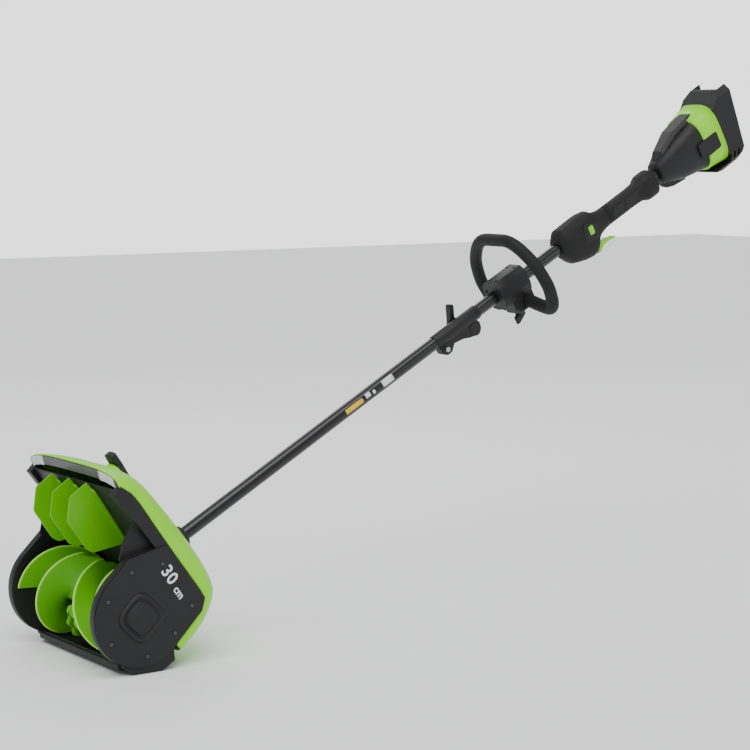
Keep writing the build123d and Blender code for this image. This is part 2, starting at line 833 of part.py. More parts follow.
# ---------------------------------------------------------------- coupler
sleeve_wall = 1.6
with BuildPart() as coupler_sleeve:
    # Split sleeve over the joint of the two tubes, with the hinge lug and the bolt lug under it.
    add(pipe(sleeve_start, sleeve_end, tube_radius + sleeve_wall, 0))
    with BuildSketch(side_plane(-9)):
        with BuildLine():
            Polyline((640, -8), (734, -8), (740, -18), (738, -30), (722, -37), (706, -33), (690, -26), (668, -22),
                     (656, -33), (644, -34), (634, -26), (634, -14), close=True)
        make_face()
        fillet(vertices(), 3)
    extrude(amount=18)
    with BuildSketch(side_plane(-10)):
        with Locations((646, -22)):
            Circle(11)
        with Locations((724, -25)):
            Circle(13)
    extrude(amount=20)
    with BuildSketch(side_plane(-12)):
        with Locations((646, -22)):
            Circle(3.1)
    extrude(amount=24, mode=Mode.SUBTRACT)
    with BuildSketch(cross_plane(sleeve_start - 1)):
        Circle(tube_radius)
    extrude(amount=sleeve_end - sleeve_start + 2, mode=Mode.SUBTRACT)
    with BuildSketch(side_plane(2 - tube_radius)):
        with Locations((700, 3)):
            Circle(3.1)
    extrude(amount=-8, mode=Mode.SUBTRACT)
keep(coupler_sleeve, "coupler_sleeve")

with BuildPart() as coupler_bolt:
    # Hex bolt that clamps the sleeve's lower lug.
    with BuildSketch(side_plane(-12)):
        with Locations((646, -22)):
            Circle(3)
    extrude(amount=22.2)
    with BuildSketch(side_plane(10)):
        with Locations((646, -22)):
            RegularPolygon(5.5, 6)
    extrude(amount=4.5)
keep(coupler_bolt, "coupler_bolt")

knob_x = tube_radius + sleeve_wall + 1.0
with BuildPart() as coupler_knob:
    # Wing knob on the far side, whose screw pinches the split sleeve onto the lower tube.
    with BuildSketch(side_plane(-knob_x)):
        with Locations((700, 3)):
            Circle(11)
    extrude(amount=-9)
    with BuildSketch(side_plane(-knob_x - 3)):
        with Locations((700, 3)):
            SlotOverall(72, 10, rotation=66)
    extrude(amount=-15)
    fillet(faces().sort_by(Axis.X)[0].edges(), 2.5)
    with BuildSketch(side_plane(-tube_radius - 0.1)):
        with Locations((700, 3)):
            Circle(3)
    extrude(amount=tube_radius - knob_x)
keep(coupler_knob, "coupler_knob")

# ---------------------------------------------------------------- loop handle
loop_centre_low = -38.0
with BuildPart() as loop_handle:
    # Closed loop of round bar, flattened at the top, its lower bar held under the tube.
    corners = [(-50, loop_height), (50, loop_height), (91, 53), (107, -13), (88, -58), (24, loop_centre_low),
               (-24, loop_centre_low), (-88, -58), (-107, -13), (-91, 53)]
    with BuildLine(cross_plane(loop_station)) as loop_path:
        FilletPolyline(*corners, radius=18, close=True)
    loop_wire = loop_path.wires()[0]
    with BuildSketch(Plane(origin=loop_wire @ 0, z_dir=loop_wire % 0)):
        Circle(loop_radius)
    sweep(path=loop_wire)
keep(loop_handle, "loop_handle")

clamp_length = 74.0
clamp_start = loop_station - 55
clamp_middle = clamp_start + clamp_length / 2
screw_reach = 11.0
with BuildPart() as handle_clamp:
    # Saddle over the tube and the loop's lower bar, with two screw pockets on top.
    with BuildSketch(cross_plane(clamp_start)):
        with BuildLine():
            Polyline((-17, 31), (17, 31), (27, 20), (29, -6), (23, -24), (-23, -24), (-29, -6), (-27, 20), close=True)
        make_face()
        fillet(vertices(), 5)
    extrude(amount=clamp_length)
    with BuildSketch(cross_plane(clamp_start + 20)):
        with Locations((0, -32)):
            Rectangle(42, 24)
    extrude(amount=clamp_length - 20)
    with BuildSketch(cross_plane(clamp_start - 1)):
        Circle(tube_radius + running_gap)
    extrude(amount=clamp_length + 2, mode=Mode.SUBTRACT)
    with BuildSketch(side_plane(-60)):
        with Locations((loop_station, loop_centre_low)):
            Circle(loop_radius + 0.1)
        with Locations((loop_station, loop_centre_low - 14)):
            Rectangle(2 * loop_radius + 0.2, 28)
    extrude(amount=120, mode=Mode.SUBTRACT)
    with BuildSketch(Plane(origin=shaft_point(clamp_middle, 19), x_dir=(1, 0, 0), z_dir=across)):
        with GridLocations(2 * screw_reach, clamp_length - 24, 2, 2):
            Circle(3)
    extrude(amount=20, mode=Mode.SUBTRACT)
keep(handle_clamp, "handle_clamp")

with BuildPart() as clamp_cap:
    # Cap under the loop's lower bar.
    with BuildSketch(cross_plane(loop_station - 28)):
        with Locations((0, -49)):
            RectangleRounded(44, 9, 3)
    extrude(amount=46)
    with BuildSketch(side_plane(-60)):
        with Locations((loop_station, loop_centre_low)):
            Circle(loop_radius + 0.1)
    extrude(amount=120, mode=Mode.SUBTRACT)
    with BuildSketch(Plane(origin=shaft_point(loop_station - 18, -60), x_dir=(1, 0, 0), z_dir=across)):
        Circle(3.1)
    extrude(amount=20, mode=Mode.SUBTRACT)
keep(clamp_cap, "clamp_cap")

knob_station = loop_station - 18
with BuildPart() as clamp_knob:
    # Wing knob under the clamp.
    with BuildSketch(Plane(origin=shaft_point(knob_station, -54), x_dir=(1, 0, 0), z_dir=-across)):
        Circle(8)
    extrude(amount=12)
    with BuildSketch(Plane(origin=shaft_point(knob_station, -58), x_dir=(1, 0, 0), z_dir=-across)):
        SlotOverall(46, 8, rotation=60)
    extrude(amount=14)
    with BuildSketch(Plane(origin=shaft_point(knob_station, -54), x_dir=(1, 0, 0), z_dir=across)):
        Circle(3)
    extrude(amount=9)
keep(clamp_knob, "clamp_knob")


with BuildPart() as clamp_screws:
    # Socket screws that hold the saddle together, sunk in its top.
    with BuildSketch(Plane(origin=shaft_point(clamp_middle, 19), x_dir=(1, 0, 0), z_dir=across)):
        with GridLocations(2 * screw_reach, clamp_length - 24, 2, 2):
            Circle(2.8)
    extrude(amount=4)
    with BuildSketch(Plane(origin=shaft_point(clamp_middle, 21), x_dir=(1, 0, 0), z_dir=across)):
        with GridLocations(2 * screw_reach, clamp_length - 24, 2, 2):
            RegularPolygon(1.5, 6)
    extrude(amount=2, mode=Mode.SUBTRACT)
keep(clamp_screws, "clamp_screws")

# ---------------------------------------------------------------- switch housing and rear grip
grip_n = -5.0
trigger_spot = (1063, -42)
button_spot = (1057, 2)
slot_half = 6.0


def grip_body():
    # Switch housing, grip and flared collar as one body, before it is parted down the middle.
    with BuildPart(mode=Mode.PRIVATE) as body:
        with BuildSketch(side_plane(-30)):
            with BuildLine():
                Polyline((housing_start, -14), (housing_start, 22), (995, 36), (1074, 36), (1104, 15),
                         (1104, -24), (1086, -27), (1076, -40), (1070, -53), (1044, -57), (998, -40), close=True)
            make_face()
            fillet(vertices(), 4)
        extrude(amount=60)
        with BuildSketch(cross_plane(housing_start - 1, -10)):
            RectangleRounded(58, 96, 25)
        extrude(amount=130, mode=Mode.INTERSECT)
        with BuildSketch(cross_plane(housing_end - 10, grip_n)):
            RectangleRounded(36, 40, 13)
        extrude(amount=grip_end - housing_end + 14)
        with BuildSketch(cross_plane(grip_end, grip_n)):
            RectangleRounded(42, 46, 15)
        with BuildSketch(cross_plane(grip_end + 14, grip_n)):
            RectangleRounded(52, 58, 19)
        loft()
        with BuildSketch(cross_plane(grip_end + 14, grip_n)):
            RectangleRounded(52, 58, 19)
        extrude(amount=collar_end - grip_end - 14)
        with BuildSketch(cross_plane(housing_start - 2)):
            Circle(tube_radius)
        extrude(amount=collar_end - housing_start + 4, mode=Mode.SUBTRACT)
        with BuildSketch(side_plane(-19)):
            with Locations((1026, -28)):
                Rectangle(42, 22)
        extrude(amount=38, mode=Mode.SUBTRACT)
        with BuildSketch(side_plane(-slot_half)):
            with BuildLine():
                Polyline((1046, -24), (1112, -24), (1112, -70), (1054, -70), (1046, -50), close=True)
            make_face()
        extrude(amount=2 * slot_half, mode=Mode.SUBTRACT)
        with BuildSketch(side_plane(-16)):
            with Locations(trigger_spot):
                Circle(2)
        extrude(amount=32, mode=Mode.SUBTRACT)
        with BuildSketch(side_plane(17)):
            with Locations(button_spot):
                RectangleRounded(13, 19, 2.5)
        extrude(amount=20, mode=Mode.SUBTRACT)
    return body.part


grip_whole = grip_body()
with BuildPart() as left_grip_shell:
    add(grip_whole)
    split(bisect_by=Plane.YZ, keep=Keep.TOP)
keep(left_grip_shell, "left_grip_shell")

with BuildPart() as right_grip_shell:
    add(grip_whole)
    split(bisect_by=Plane.YZ, keep=Keep.BOTTOM)
keep(right_grip_shell, "right_grip_shell")

with BuildPart() as trigger:
    # Curved blade on two trunnions, squeezed up towards the grip.
    with BuildSketch(side_plane(0.4 - slot_half)):
        with BuildLine():
            Polyline((1057, -36), (1069, -36), (1080, -43), (1100, -45), (1121, -50), (1123, -55), (1101, -51),
                     (1086, -53), (1076, -60), (1066, -60), (1057, -50), close=True)
        make_face()
        fillet(vertices(), 1.5)
    extrude(amount=2 * slot_half - 0.8)
    with BuildSketch(side_plane(-14)):
        with Locations(trigger_spot):
            Circle(2 - running_gap)
    extrude(amount=28)
keep(trigger, "trigger")

with BuildPart() as lockout_button:
    # Stepped push button in the left shell.
    with BuildSketch(side_plane(21)):
        with Locations(button_spot):
            RectangleRounded(12.2, 18.2, 2.2)
    extrude(amount=8.5)
    with BuildSketch(side_plane(29.5)):
        with Locations(button_spot):
            RectangleRounded(6, 16, 2)
    extrude(amount=2)
keep(lockout_button, "lockout_button")

with BuildPart() as power_switch:
    # Sealed switch block ahead of the trigger, with its plunger.
    with BuildSketch(side_plane(-10)):
        with Locations((1024, -28)):
            Rectangle(34, 18)
    extrude(amount=20)
    with BuildSketch(cross_plane(1041, -28)):
        Rectangle(6, 5)
    extrude(amount=4)
keep(power_switch, "power_switch")

# ---------------------------------------------------------------- motor housing
housing_wall = 3.0
motor_sections = [(motor_start, 46, 48, 0), (1330, 78, 84, 3), (1395, 96, 112, 7), (1442, 100, 124, 9)]


def motor_body(grow, sections):
    # Tapered body around the motor, grown or shrunk on every side.
    with BuildPart(mode=Mode.PRIVATE) as body:
        for station, width, height, centre in sections:
            with BuildSketch(cross_plane(station, centre)):
                RectangleRounded(width + 2 * grow, height + 2 * grow, (width + 2 * grow) * 0.4)
        loft()
    return body.part


hollow_sections = [(motor_start + 4, *motor_sections[0][1:]), *motor_sections[1:3], (1438, *motor_sections[3][1:])]
with BuildPart() as motor_housing:
    add(motor_body(0, motor_sections))
    add(motor_body(-housing_wall, hollow_sections), mode=Mode.SUBTRACT)
    with BuildSketch(cross_plane(motor_start - 1)):
        Circle(tube_radius)
    extrude(amount=10, mode=Mode.SUBTRACT)
    for side in (1, -1):
        with BuildSketch(side_plane(0)):
            for number in range(3):
                with Locations((1345 + 17 * number, 40 + 4 * number)):
                    SlotOverall(13, 3.6, rotation=14)
        extrude(amount=side * 60, mode=Mode.SUBTRACT)
keep(motor_housing, "motor_housing")

with BuildPart() as motor_cover:
    # Bright wrap around the back of the motor housing, notched at both sides.
    add(motor_body(3.5, [(1392, 96, 112, 7), (1442, 101, 126, 9)]))
    add(motor_body(0.6, [(1391, 96, 112, 7), (1443, 101, 126, 9)]), mode=Mode.SUBTRACT)
    with BuildSketch(side_plane(-70)):
        with Locations((1400, 2)):
            Rectangle(50, 34)
    extrude(amount=140, mode=Mode.SUBTRACT)
keep(motor_cover, "motor_cover")

bay_half = 36.0
with BuildPart() as battery_dock:
    # Faceted dock with an open-topped bay, slide rails and vent slots.
    with BuildSketch(side_plane(-50)):
        with BuildLine():
            Polyline((1442.5, 62), (1446, 64), (1478, 88), (1507, 88), (1487, -48), (1462, -67), (1418, -68),
                     (1398, -61), (1442.5, -59), close=True)
        make_face()
    extrude(amount=100)
    with BuildSketch(cross_plane(1380, 10)):
        Rectangle(100, 158)
        chamfer(vertices(), 13)
    extrude(amount=140, mode=Mode.INTERSECT)
    with BuildSketch(side_plane(-bay_half)):
        with BuildLine():
            Polyline((1468, 60), (1484, 84), (1484, 95), (1525, 95), (1525, -38), (1468, -38), close=True)
        make_face()
    extrude(amount=2 * bay_half, mode=Mode.SUBTRACT)
    for side in (1, -1):
        with BuildSketch(side_plane(side * bay_half)):
            with BuildLine():
                Polyline((1478, -38), (1484, -38), (1490, 70), (1484, 70), close=True)
            make_face()
        extrude(amount=-side * 5)
    for number in range(4):
        with BuildSketch(side_plane(-60)):
            with Locations((1428 + 13 * number, -52)):
                SlotOverall(20, 5, rotation=60)
        extrude(amount=120, mode=Mode.SUBTRACT)
keep(battery_dock, "battery_dock")

with BuildPart() as terminal_block:
    with BuildSketch(side_plane(-20)):
        with Locations((1477, -28)):
            Rectangle(17.8, 19.8)
    extrude(amount=40)
keep(terminal_block, "terminal_block")

with BuildPart() as battery_contacts:
    # Blade contacts standing up from the terminal block.
    for number in range(4):
        with BuildSketch(side_plane(-15.6 + 10 * number)):
            with Locations((1476, -11)):
                Rectangle(9, 13.9)
        extrude(amount=1.2)
keep(battery_contacts, "battery_contacts")

# ---------------------------------------------------------------- motor and electronics
stator_radius = 27.0
rotor_radius = 14.0
with BuildPart() as stator:
    # Laminated ring with six wound poles.
    with BuildSketch(cross_plane(rotor_front + 8)):
        Circle(stator_radius)
        Circle(stator_radius - 4, mode=Mode.SUBTRACT)
        with PolarLocations((stator_radius + rotor_radius) / 2 - 1, 6):
            Rectangle(stator_radius - rotor_radius - 3, 4)
        Circle(rotor_radius + 0.6, mode=Mode.SUBTRACT)
    extrude(amount=motor_length - 16)
keep(stator, "stator")

with BuildPart() as stator_windings:
    with BuildSketch(cross_plane(rotor_front + 5)):
        with PolarLocations((stator_radius + rotor_radius) / 2 - 1, 6):
            RectangleRounded(5.5, 8, 1.5)
            Rectangle(8, 4.1, mode=Mode.SUBTRACT)
    extrude(amount=motor_length - 10)
keep(stator_windings, "stator_windings")

with BuildPart() as rotor:
    # Magnet drum pressed on the motor shaft.
    add(pipe(rotor_front + 8, rotor_front + motor_length - 8, rotor_radius, 0))
    add(pipe(rotor_front, rotor_front + motor_length + 6, drive_shaft_radius, 0))
keep(rotor, "rotor")

with BuildPart() as cooling_fan:
    with BuildSketch(cross_plane(rotor_front + motor_length + 0.8)):
        Circle(8)
        with PolarLocations(15, 9):
            Rectangle(18, 1.6, rotation=20)
        Circle(drive_shaft_radius, mode=Mode.SUBTRACT)
    extrude(amount=6)
keep(cooling_fan, "cooling_fan")

with BuildPart() as motor_brackets:
    # End plates that carry the motor bearings and centre the stator.
    for start, turn in ((rotor_front, 1), (rotor_front + motor_length, -1)):
        with BuildSketch(cross_plane(start)):
            Circle(stator_radius + 3)
            Circle(drive_shaft_radius + 5, mode=Mode.SUBTRACT)
            with PolarLocations(18, 6):
                Circle(4, mode=Mode.SUBTRACT)
        extrude(amount=turn * 4)
        with BuildSketch(cross_plane(start + turn * 4)):
            Circle(stator_radius + 3)
            Circle(stator_radius, mode=Mode.SUBTRACT)
        extrude(amount=turn * 8)
keep(motor_brackets, "motor_brackets")

with BuildPart() as motor_bearings:
    add(bearing_ring(cross_plane(rotor_front), (0, 0), drive_shaft_radius + running_gap, drive_shaft_radius + 5, 4))
    add(bearing_ring(cross_plane(rotor_front + motor_length - 4), (0, 0), drive_shaft_radius + running_gap,
                     drive_shaft_radius + 5, 4))
keep(motor_bearings, "motor_bearings")

with BuildPart() as controller:
    # Motor controller board with its capacitors and heat sink.
    with BuildSketch(cross_plane(1408, 8)):
        RectangleRounded(72, 80, 8)
    extrude(amount=1.6)
    with BuildSketch(cross_plane(1409.6, 8)):
        with GridLocations(26, 30, 2, 2):
            Circle(6)
    extrude(amount=16)
    with BuildSketch(cross_plane(1409.6, 8)):
        Rectangle(8, 60)
    extrude(amount=10)
keep(controller, "controller")

# ---------------------------------------------------------------- home position and export
boxes = [piece.bounding_box() for piece in pieces.values()]
low = Vector(*(min(getattr(box.min, axis) for box in boxes) for axis in "XYZ"))
high = Vector(*(max(getattr(box.max, axis) for box in boxes) for axis in "XYZ"))
home = Vector(-(low.X + high.X) / 2, -(low.Y + high.Y) / 2, -low.Z)
for label, piece in pieces.items():
    placed = piece.moved(Location(home))
    placed.label = label
    export_step(placed, f"parts/{label}.step")
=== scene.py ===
import math

import bmesh
import bpy
from mathutils import Matrix, Vector
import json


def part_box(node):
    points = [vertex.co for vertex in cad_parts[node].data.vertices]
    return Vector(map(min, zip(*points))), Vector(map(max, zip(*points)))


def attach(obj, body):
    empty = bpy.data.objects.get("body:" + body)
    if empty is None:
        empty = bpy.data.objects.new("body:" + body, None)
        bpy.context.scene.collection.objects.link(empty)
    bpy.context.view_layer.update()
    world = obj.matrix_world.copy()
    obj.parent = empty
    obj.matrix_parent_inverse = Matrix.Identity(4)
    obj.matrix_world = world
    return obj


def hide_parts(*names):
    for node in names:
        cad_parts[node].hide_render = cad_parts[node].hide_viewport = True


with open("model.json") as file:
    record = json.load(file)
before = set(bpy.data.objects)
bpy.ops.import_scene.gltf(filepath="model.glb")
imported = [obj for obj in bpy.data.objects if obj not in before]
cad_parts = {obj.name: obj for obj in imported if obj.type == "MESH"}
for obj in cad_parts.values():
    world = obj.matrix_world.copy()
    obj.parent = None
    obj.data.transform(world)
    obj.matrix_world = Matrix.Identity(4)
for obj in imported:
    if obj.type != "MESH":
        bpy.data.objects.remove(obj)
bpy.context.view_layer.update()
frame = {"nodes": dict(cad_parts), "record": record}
print("snow shovel: frame loaded")

mm = 0.001
# Degrees and millimetres that place the shaft, the chute roof and the direction knob
layout = {"shaftTilt": 29.3, "shaftDrop": 3.8, "shaftStart": 211.7, "roofSlope": 57, "roofLift": 84, "knobUp": 152}
axleLow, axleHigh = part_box("auger_axle")
augerAxis = Vector((0, (axleLow[1] + axleHigh[1]) / 2, (axleLow[2] + axleHigh[2]) / 2))
shaftTilt = math.radians(layout["shaftTilt"])
shaftAlong = Vector((0, math.cos(shaftTilt), math.sin(shaftTilt)))
shaftAcross = Vector((0, -math.sin(shaftTilt), math.cos(shaftTilt)))
shaftZero = augerAxis - shaftAcross * layout["shaftDrop"] * mm + shaftAlong * layout["shaftStart"] * mm
roofSlope = math.radians(layout["roofSlope"])
roofAlong = Vector((0, -math.cos(roofSlope), math.sin(roofSlope)))
roofOut = Vector((0, math.sin(roofSlope), math.cos(roofSlope)))
roofStart = augerAxis + roofOut * layout["roofLift"] * mm


def shaftPoint(station, rise=0.0, side=0.0):
    # A point in millimetres along the shaft, above its axis, and towards the operator's left
    return shaftZero + shaftAlong * station * mm + shaftAcross * rise * mm + Vector((side * mm, 0, 0))


def headPoint(y, z, x=0.0):
    # A point of the head in millimetres from the ground under the auger axle
    return Vector((x * mm, augerAxis.y + y * mm, z * mm))


def roofPoint(lift, up, x=0.0):
    # A point above the chute roof in millimetres
    return roofStart + roofAlong * up * mm + roofOut * lift * mm + Vector((x * mm, 0, 0))


# ---- shader groups shared by several finishes

def newGroup(name, inputs, outputs):
    group = bpy.data.node_groups.new(name, "ShaderNodeTree")
    for label, kind, value in inputs:
        socket = group.interface.new_socket(label, in_out="INPUT", socket_type=kind)
        if value is not None:
            socket.default_value = value
    for label, kind in outputs:
        group.interface.new_socket(label, in_out="OUTPUT", socket_type=kind)
    return group, group.nodes.new("NodeGroupInput"), group.nodes.new("NodeGroupOutput")


def addNode(tree, kind, **values):
    node = tree.nodes.new(kind)
    for key, value in values.items():
        setattr(node, key, value)
    return node


def makeMouldGrain():
    # Fine spark texture and slow colour drift of moulded plastic
    group, source, result = newGroup(
        "mouldGrain",
        [("Base", "NodeSocketColor", (0.5, 0.5, 0.5, 1)), ("Drift", "NodeSocketColor", (0.4, 0.4, 0.4, 1)),
         ("Patch Scale", "NodeSocketFloat", 18.0), ("Grain Scale", "NodeSocketFloat", 2500.0),
         ("Rough Low", "NodeSocketFloat", 0.4), ("Rough High", "NodeSocketFloat", 0.55)],
        [("Color", "NodeSocketColor"), ("Roughness", "NodeSocketFloat"), ("Height", "NodeSocketFloat")])
    place = addNode(group, "ShaderNodeTexCoord")
    patch = addNode(group, "ShaderNodeTexNoise")
    patch.inputs["Detail"].default_value = 3
    grain = addNode(group, "ShaderNodeTexNoise")
    grain.inputs["Detail"].default_value = 1
    mix = addNode(group, "ShaderNodeMix", data_type="RGBA")
    rough = addNode(group, "ShaderNodeMapRange")
    link = group.links.new
    link(place.outputs["Object"], patch.inputs["Vector"])
    link(place.outputs["Object"], grain.inputs["Vector"])
    link(source.outputs["Patch Scale"], patch.inputs["Scale"])
    link(source.outputs["Grain Scale"], grain.inputs["Scale"])
    link(patch.outputs["Fac"], mix.inputs[0])
    link(source.outputs["Base"], mix.inputs[6])
    link(source.outputs["Drift"], mix.inputs[7])
    link(patch.outputs["Fac"], rough.inputs["Value"])
    link(source.outputs["Rough Low"], rough.inputs["To Min"])
    link(source.outputs["Rough High"], rough.inputs["To Max"])
    link(mix.outputs[2], result.inputs["Color"])
    link(rough.outputs["Result"], result.inputs["Roughness"])
    link(grain.outputs["Fac"], result.inputs["Height"])
    return group


def makeScuffs():
    # Sparse thin scratches as a mask
    group, source, result = newGroup(
        "handlingScuffs",
        [("Scale", "NodeSocketFloat", 60.0), ("Amount", "NodeSocketFloat", 0.5)],
        [("Mask", "NodeSocketFloat")])
    place = addNode(group, "ShaderNodeTexCoord")
    stretch = addNode(group, "ShaderNodeMapping")
    stretch.inputs["Scale"].default_value = (1.0, 9.0, 3.0)
    stretch.inputs["Rotation"].default_value = (0.4, 0.2, 0.7)
    lines = addNode(group, "ShaderNodeTexNoise")
    lines.inputs["Detail"].default_value = 6
    cut = addNode(group, "ShaderNodeMapRange")
    cut.inputs["From Min"].default_value = 0.66
    cut.inputs["From Max"].default_value = 0.74
    scale = addNode(group, "ShaderNodeMath", operation="MULTIPLY")
    link = group.links.new
    link(place.outputs["Object"], stretch.inputs["Vector"])
    link(stretch.outputs["Vector"], lines.inputs["Vector"])
    link(source.outputs["Scale"], lines.inputs["Scale"])
    link(lines.outputs["Fac"], cut.inputs["Value"])
    link(cut.outputs["Result"], scale.inputs[0])
    link(source.outputs["Amount"], scale.inputs[1])
    link(scale.outputs["Value"], result.inputs["Mask"])
    return group


mouldGrain = makeMouldGrain()
handlingScuffs = makeScuffs()

# Colours and gloss of each finish
finishes = {
    "limeCover": dict(base=(0.27, 0.80, 0.0), drift=(0.24, 0.74, 0.0), rough=(0.36, 0.44), bump=0.02,
                      coat=0.05),
    "limeControl": dict(base=(0.24, 0.74, 0.0), drift=(0.21, 0.68, 0.0), rough=(0.3, 0.4), bump=0.03,
                        coat=0.2),
    "greenAuger": dict(base=(0.13, 0.50, 0.0), drift=(0.105, 0.44, 0.0), rough=(0.36, 0.46), bump=0.04,
                       coat=0.1),
    "blackPlastic": dict(base=(0.014, 0.014, 0.015), drift=(0.011, 0.011, 0.012), rough=(0.42, 0.55), bump=0.06,
                         coat=0.0),
    "softGrip": dict(base=(0.011, 0.011, 0.0115), drift=(0.008, 0.008, 0.0085), rough=(0.6, 0.72), bump=0.09,
                     coat=0.0),
    "greyBand": dict(base=(0.075, 0.076, 0.078), drift=(0.06, 0.061, 0.063), rough=(0.35, 0.45), bump=0.03,
                     coat=0.1),
    "circuitBoard": dict(base=(0.02, 0.14, 0.06), drift=(0.03, 0.18, 0.08), rough=(0.35, 0.5), bump=0.02,
                         coat=0.1),
    "blackTube": dict(base=(0.008, 0.008, 0.009), drift=(0.006, 0.006, 0.007), rough=(0.24, 0.32), bump=0.03,
                      coat=0.3),
    "beltRubber": dict(base=(0.015, 0.015, 0.015), drift=(0.022, 0.022, 0.022), rough=(0.65, 0.8), bump=0.1,
                       coat=0.0),
    "whiteInk": dict(base=(0.8, 0.81, 0.82), drift=(0.72, 0.73, 0.74), rough=(0.4, 0.5), bump=0.01,
                     coat=0.0),
    "yellowInk": dict(base=(0.85, 0.55, 0.02), drift=(0.75, 0.48, 0.02), rough=(0.4, 0.5), bump=0.01,
                      coat=0.0),
    # Near-black finish painted as the shade inside screw wells, saddle pockets and air slots
    "darkRecess": dict(base=(0.008, 0.008, 0.009), drift=(0.012, 0.012, 0.013), rough=(0.7, 0.8), bump=0.02,
                       coat=0.0),
}
metals = {
    "brightSteel": dict(base=(0.55, 0.55, 0.56), drift=(0.42, 0.42, 0.43), rough=(0.25, 0.4)),
    "darkSteel": dict(base=(0.13, 0.13, 0.14), drift=(0.08, 0.08, 0.09), rough=(0.35, 0.5)),
    "gearboxAluminium": dict(base=(0.5, 0.51, 0.52), drift=(0.38, 0.39, 0.4), rough=(0.4, 0.55)),
    "contactBrass": dict(base=(0.8, 0.58, 0.25), drift=(0.7, 0.48, 0.2), rough=(0.2, 0.35)),
    "copperWire": dict(base=(0.72, 0.32, 0.15), drift=(0.55, 0.22, 0.1), rough=(0.3, 0.45)),
}


def startMaterial(name, base, drift, rough, patchScale=18.0, grainScale=2500.0):
    material = bpy.data.materials.new(name)
    material.use_nodes = True
    tree = material.node_tree
    shader = tree.nodes["Principled BSDF"]
    grain = addNode(tree, "ShaderNodeGroup", node_tree=mouldGrain)
    grain.inputs["Base"].default_value = (*base, 1)
    grain.inputs["Drift"].default_value = (*drift, 1)
    grain.inputs["Patch Scale"].default_value = patchScale
    grain.inputs["Grain Scale"].default_value = grainScale
    grain.inputs["Rough Low"].default_value = rough[0]
    grain.inputs["Rough High"].default_value = rough[1]
    return material, tree, shader, grain


def scuffedColour(tree, grain, lift, amount):
    # Lightens the base colour along the scuffs
    scuffs = addNode(tree, "ShaderNodeGroup", node_tree=handlingScuffs)
    scuffs.inputs["Amount"].default_value = amount
    mix = addNode(tree, "ShaderNodeMix", data_type="RGBA")
    mix.inputs[7].default_value = (*lift, 1)
    tree.links.new(scuffs.outputs["Mask"], mix.inputs[0])
    tree.links.new(grain.outputs["Color"], mix.inputs[6])
    return mix


# Scuff, bump and gloss values shared by each kind of surface
plasticLook = {"scuffs": 0.25, "bumpGain": 4, "bumpDistance": 0.0004, "coatRoughness": 0.12, "specular": 0.3}
metalLook = {"patchScale": 60.0, "grainScale": 900.0, "scuffs": 0.5, "bump": 0.1, "bumpDistance": 0.0003}
bladeLook = {"scuffColour": (0.3, 0.62, 0.12), "scuffs": 0.35, "coatRoughness": 0.15, "rimHighlightBlend": 0.0006}
lensLook = {"flutes": 120.0, "distortion": 0.4, "bump": 0.5, "bumpDistance": 0.001, "metallic": 0.35, "coat": 0.8,
            "coatRoughness": 0.05}


def finishSurface(tree, shader, grain, colour, height, strength, distance):
    # Takes colour, roughness and bump to the shader
    bump = addNode(tree, "ShaderNodeBump")
    bump.inputs["Strength"].default_value = strength
    bump.inputs["Distance"].default_value = distance
    tree.links.new(height, bump.inputs["Height"])
    tree.links.new(colour, shader.inputs["Base Color"])
    tree.links.new(grain.outputs["Roughness"], shader.inputs["Roughness"])
    tree.links.new(bump.outputs["Normal"], shader.inputs["Normal"])


def plasticMaterial(name):
    look = finishes[name]
    material, tree, shader, grain = startMaterial(name, look["base"], look["drift"], look["rough"])
    lift = tuple(min(1.0, channel * 1.6 + 0.02) for channel in look["base"])
    colour = scuffedColour(tree, grain, lift, plasticLook["scuffs"])
    finishSurface(tree, shader, grain, colour.outputs[2], grain.outputs["Height"],
                  look["bump"] * plasticLook["bumpGain"], plasticLook["bumpDistance"])
    shader.inputs["Coat Weight"].default_value = look["coat"]
    shader.inputs["Coat Roughness"].default_value = plasticLook["coatRoughness"]
    shader.inputs["Specular IOR Level"].default_value = plasticLook["specular"]
    return material


def metalMaterial(name):
    look = metals[name]
    material, tree, shader, grain = startMaterial(name, look["base"], look["drift"], look["rough"],
                                                  metalLook["patchScale"], metalLook["grainScale"])
    lift = tuple(min(1.0, channel * 1.4) for channel in look["base"])
    colour = scuffedColour(tree, grain, lift, metalLook["scuffs"])
    finishSurface(tree, shader, grain, colour.outputs[2], grain.outputs["Height"], metalLook["bump"],
                  metalLook["bumpDistance"])
    shader.inputs["Metallic"].default_value = 1.0
    return material


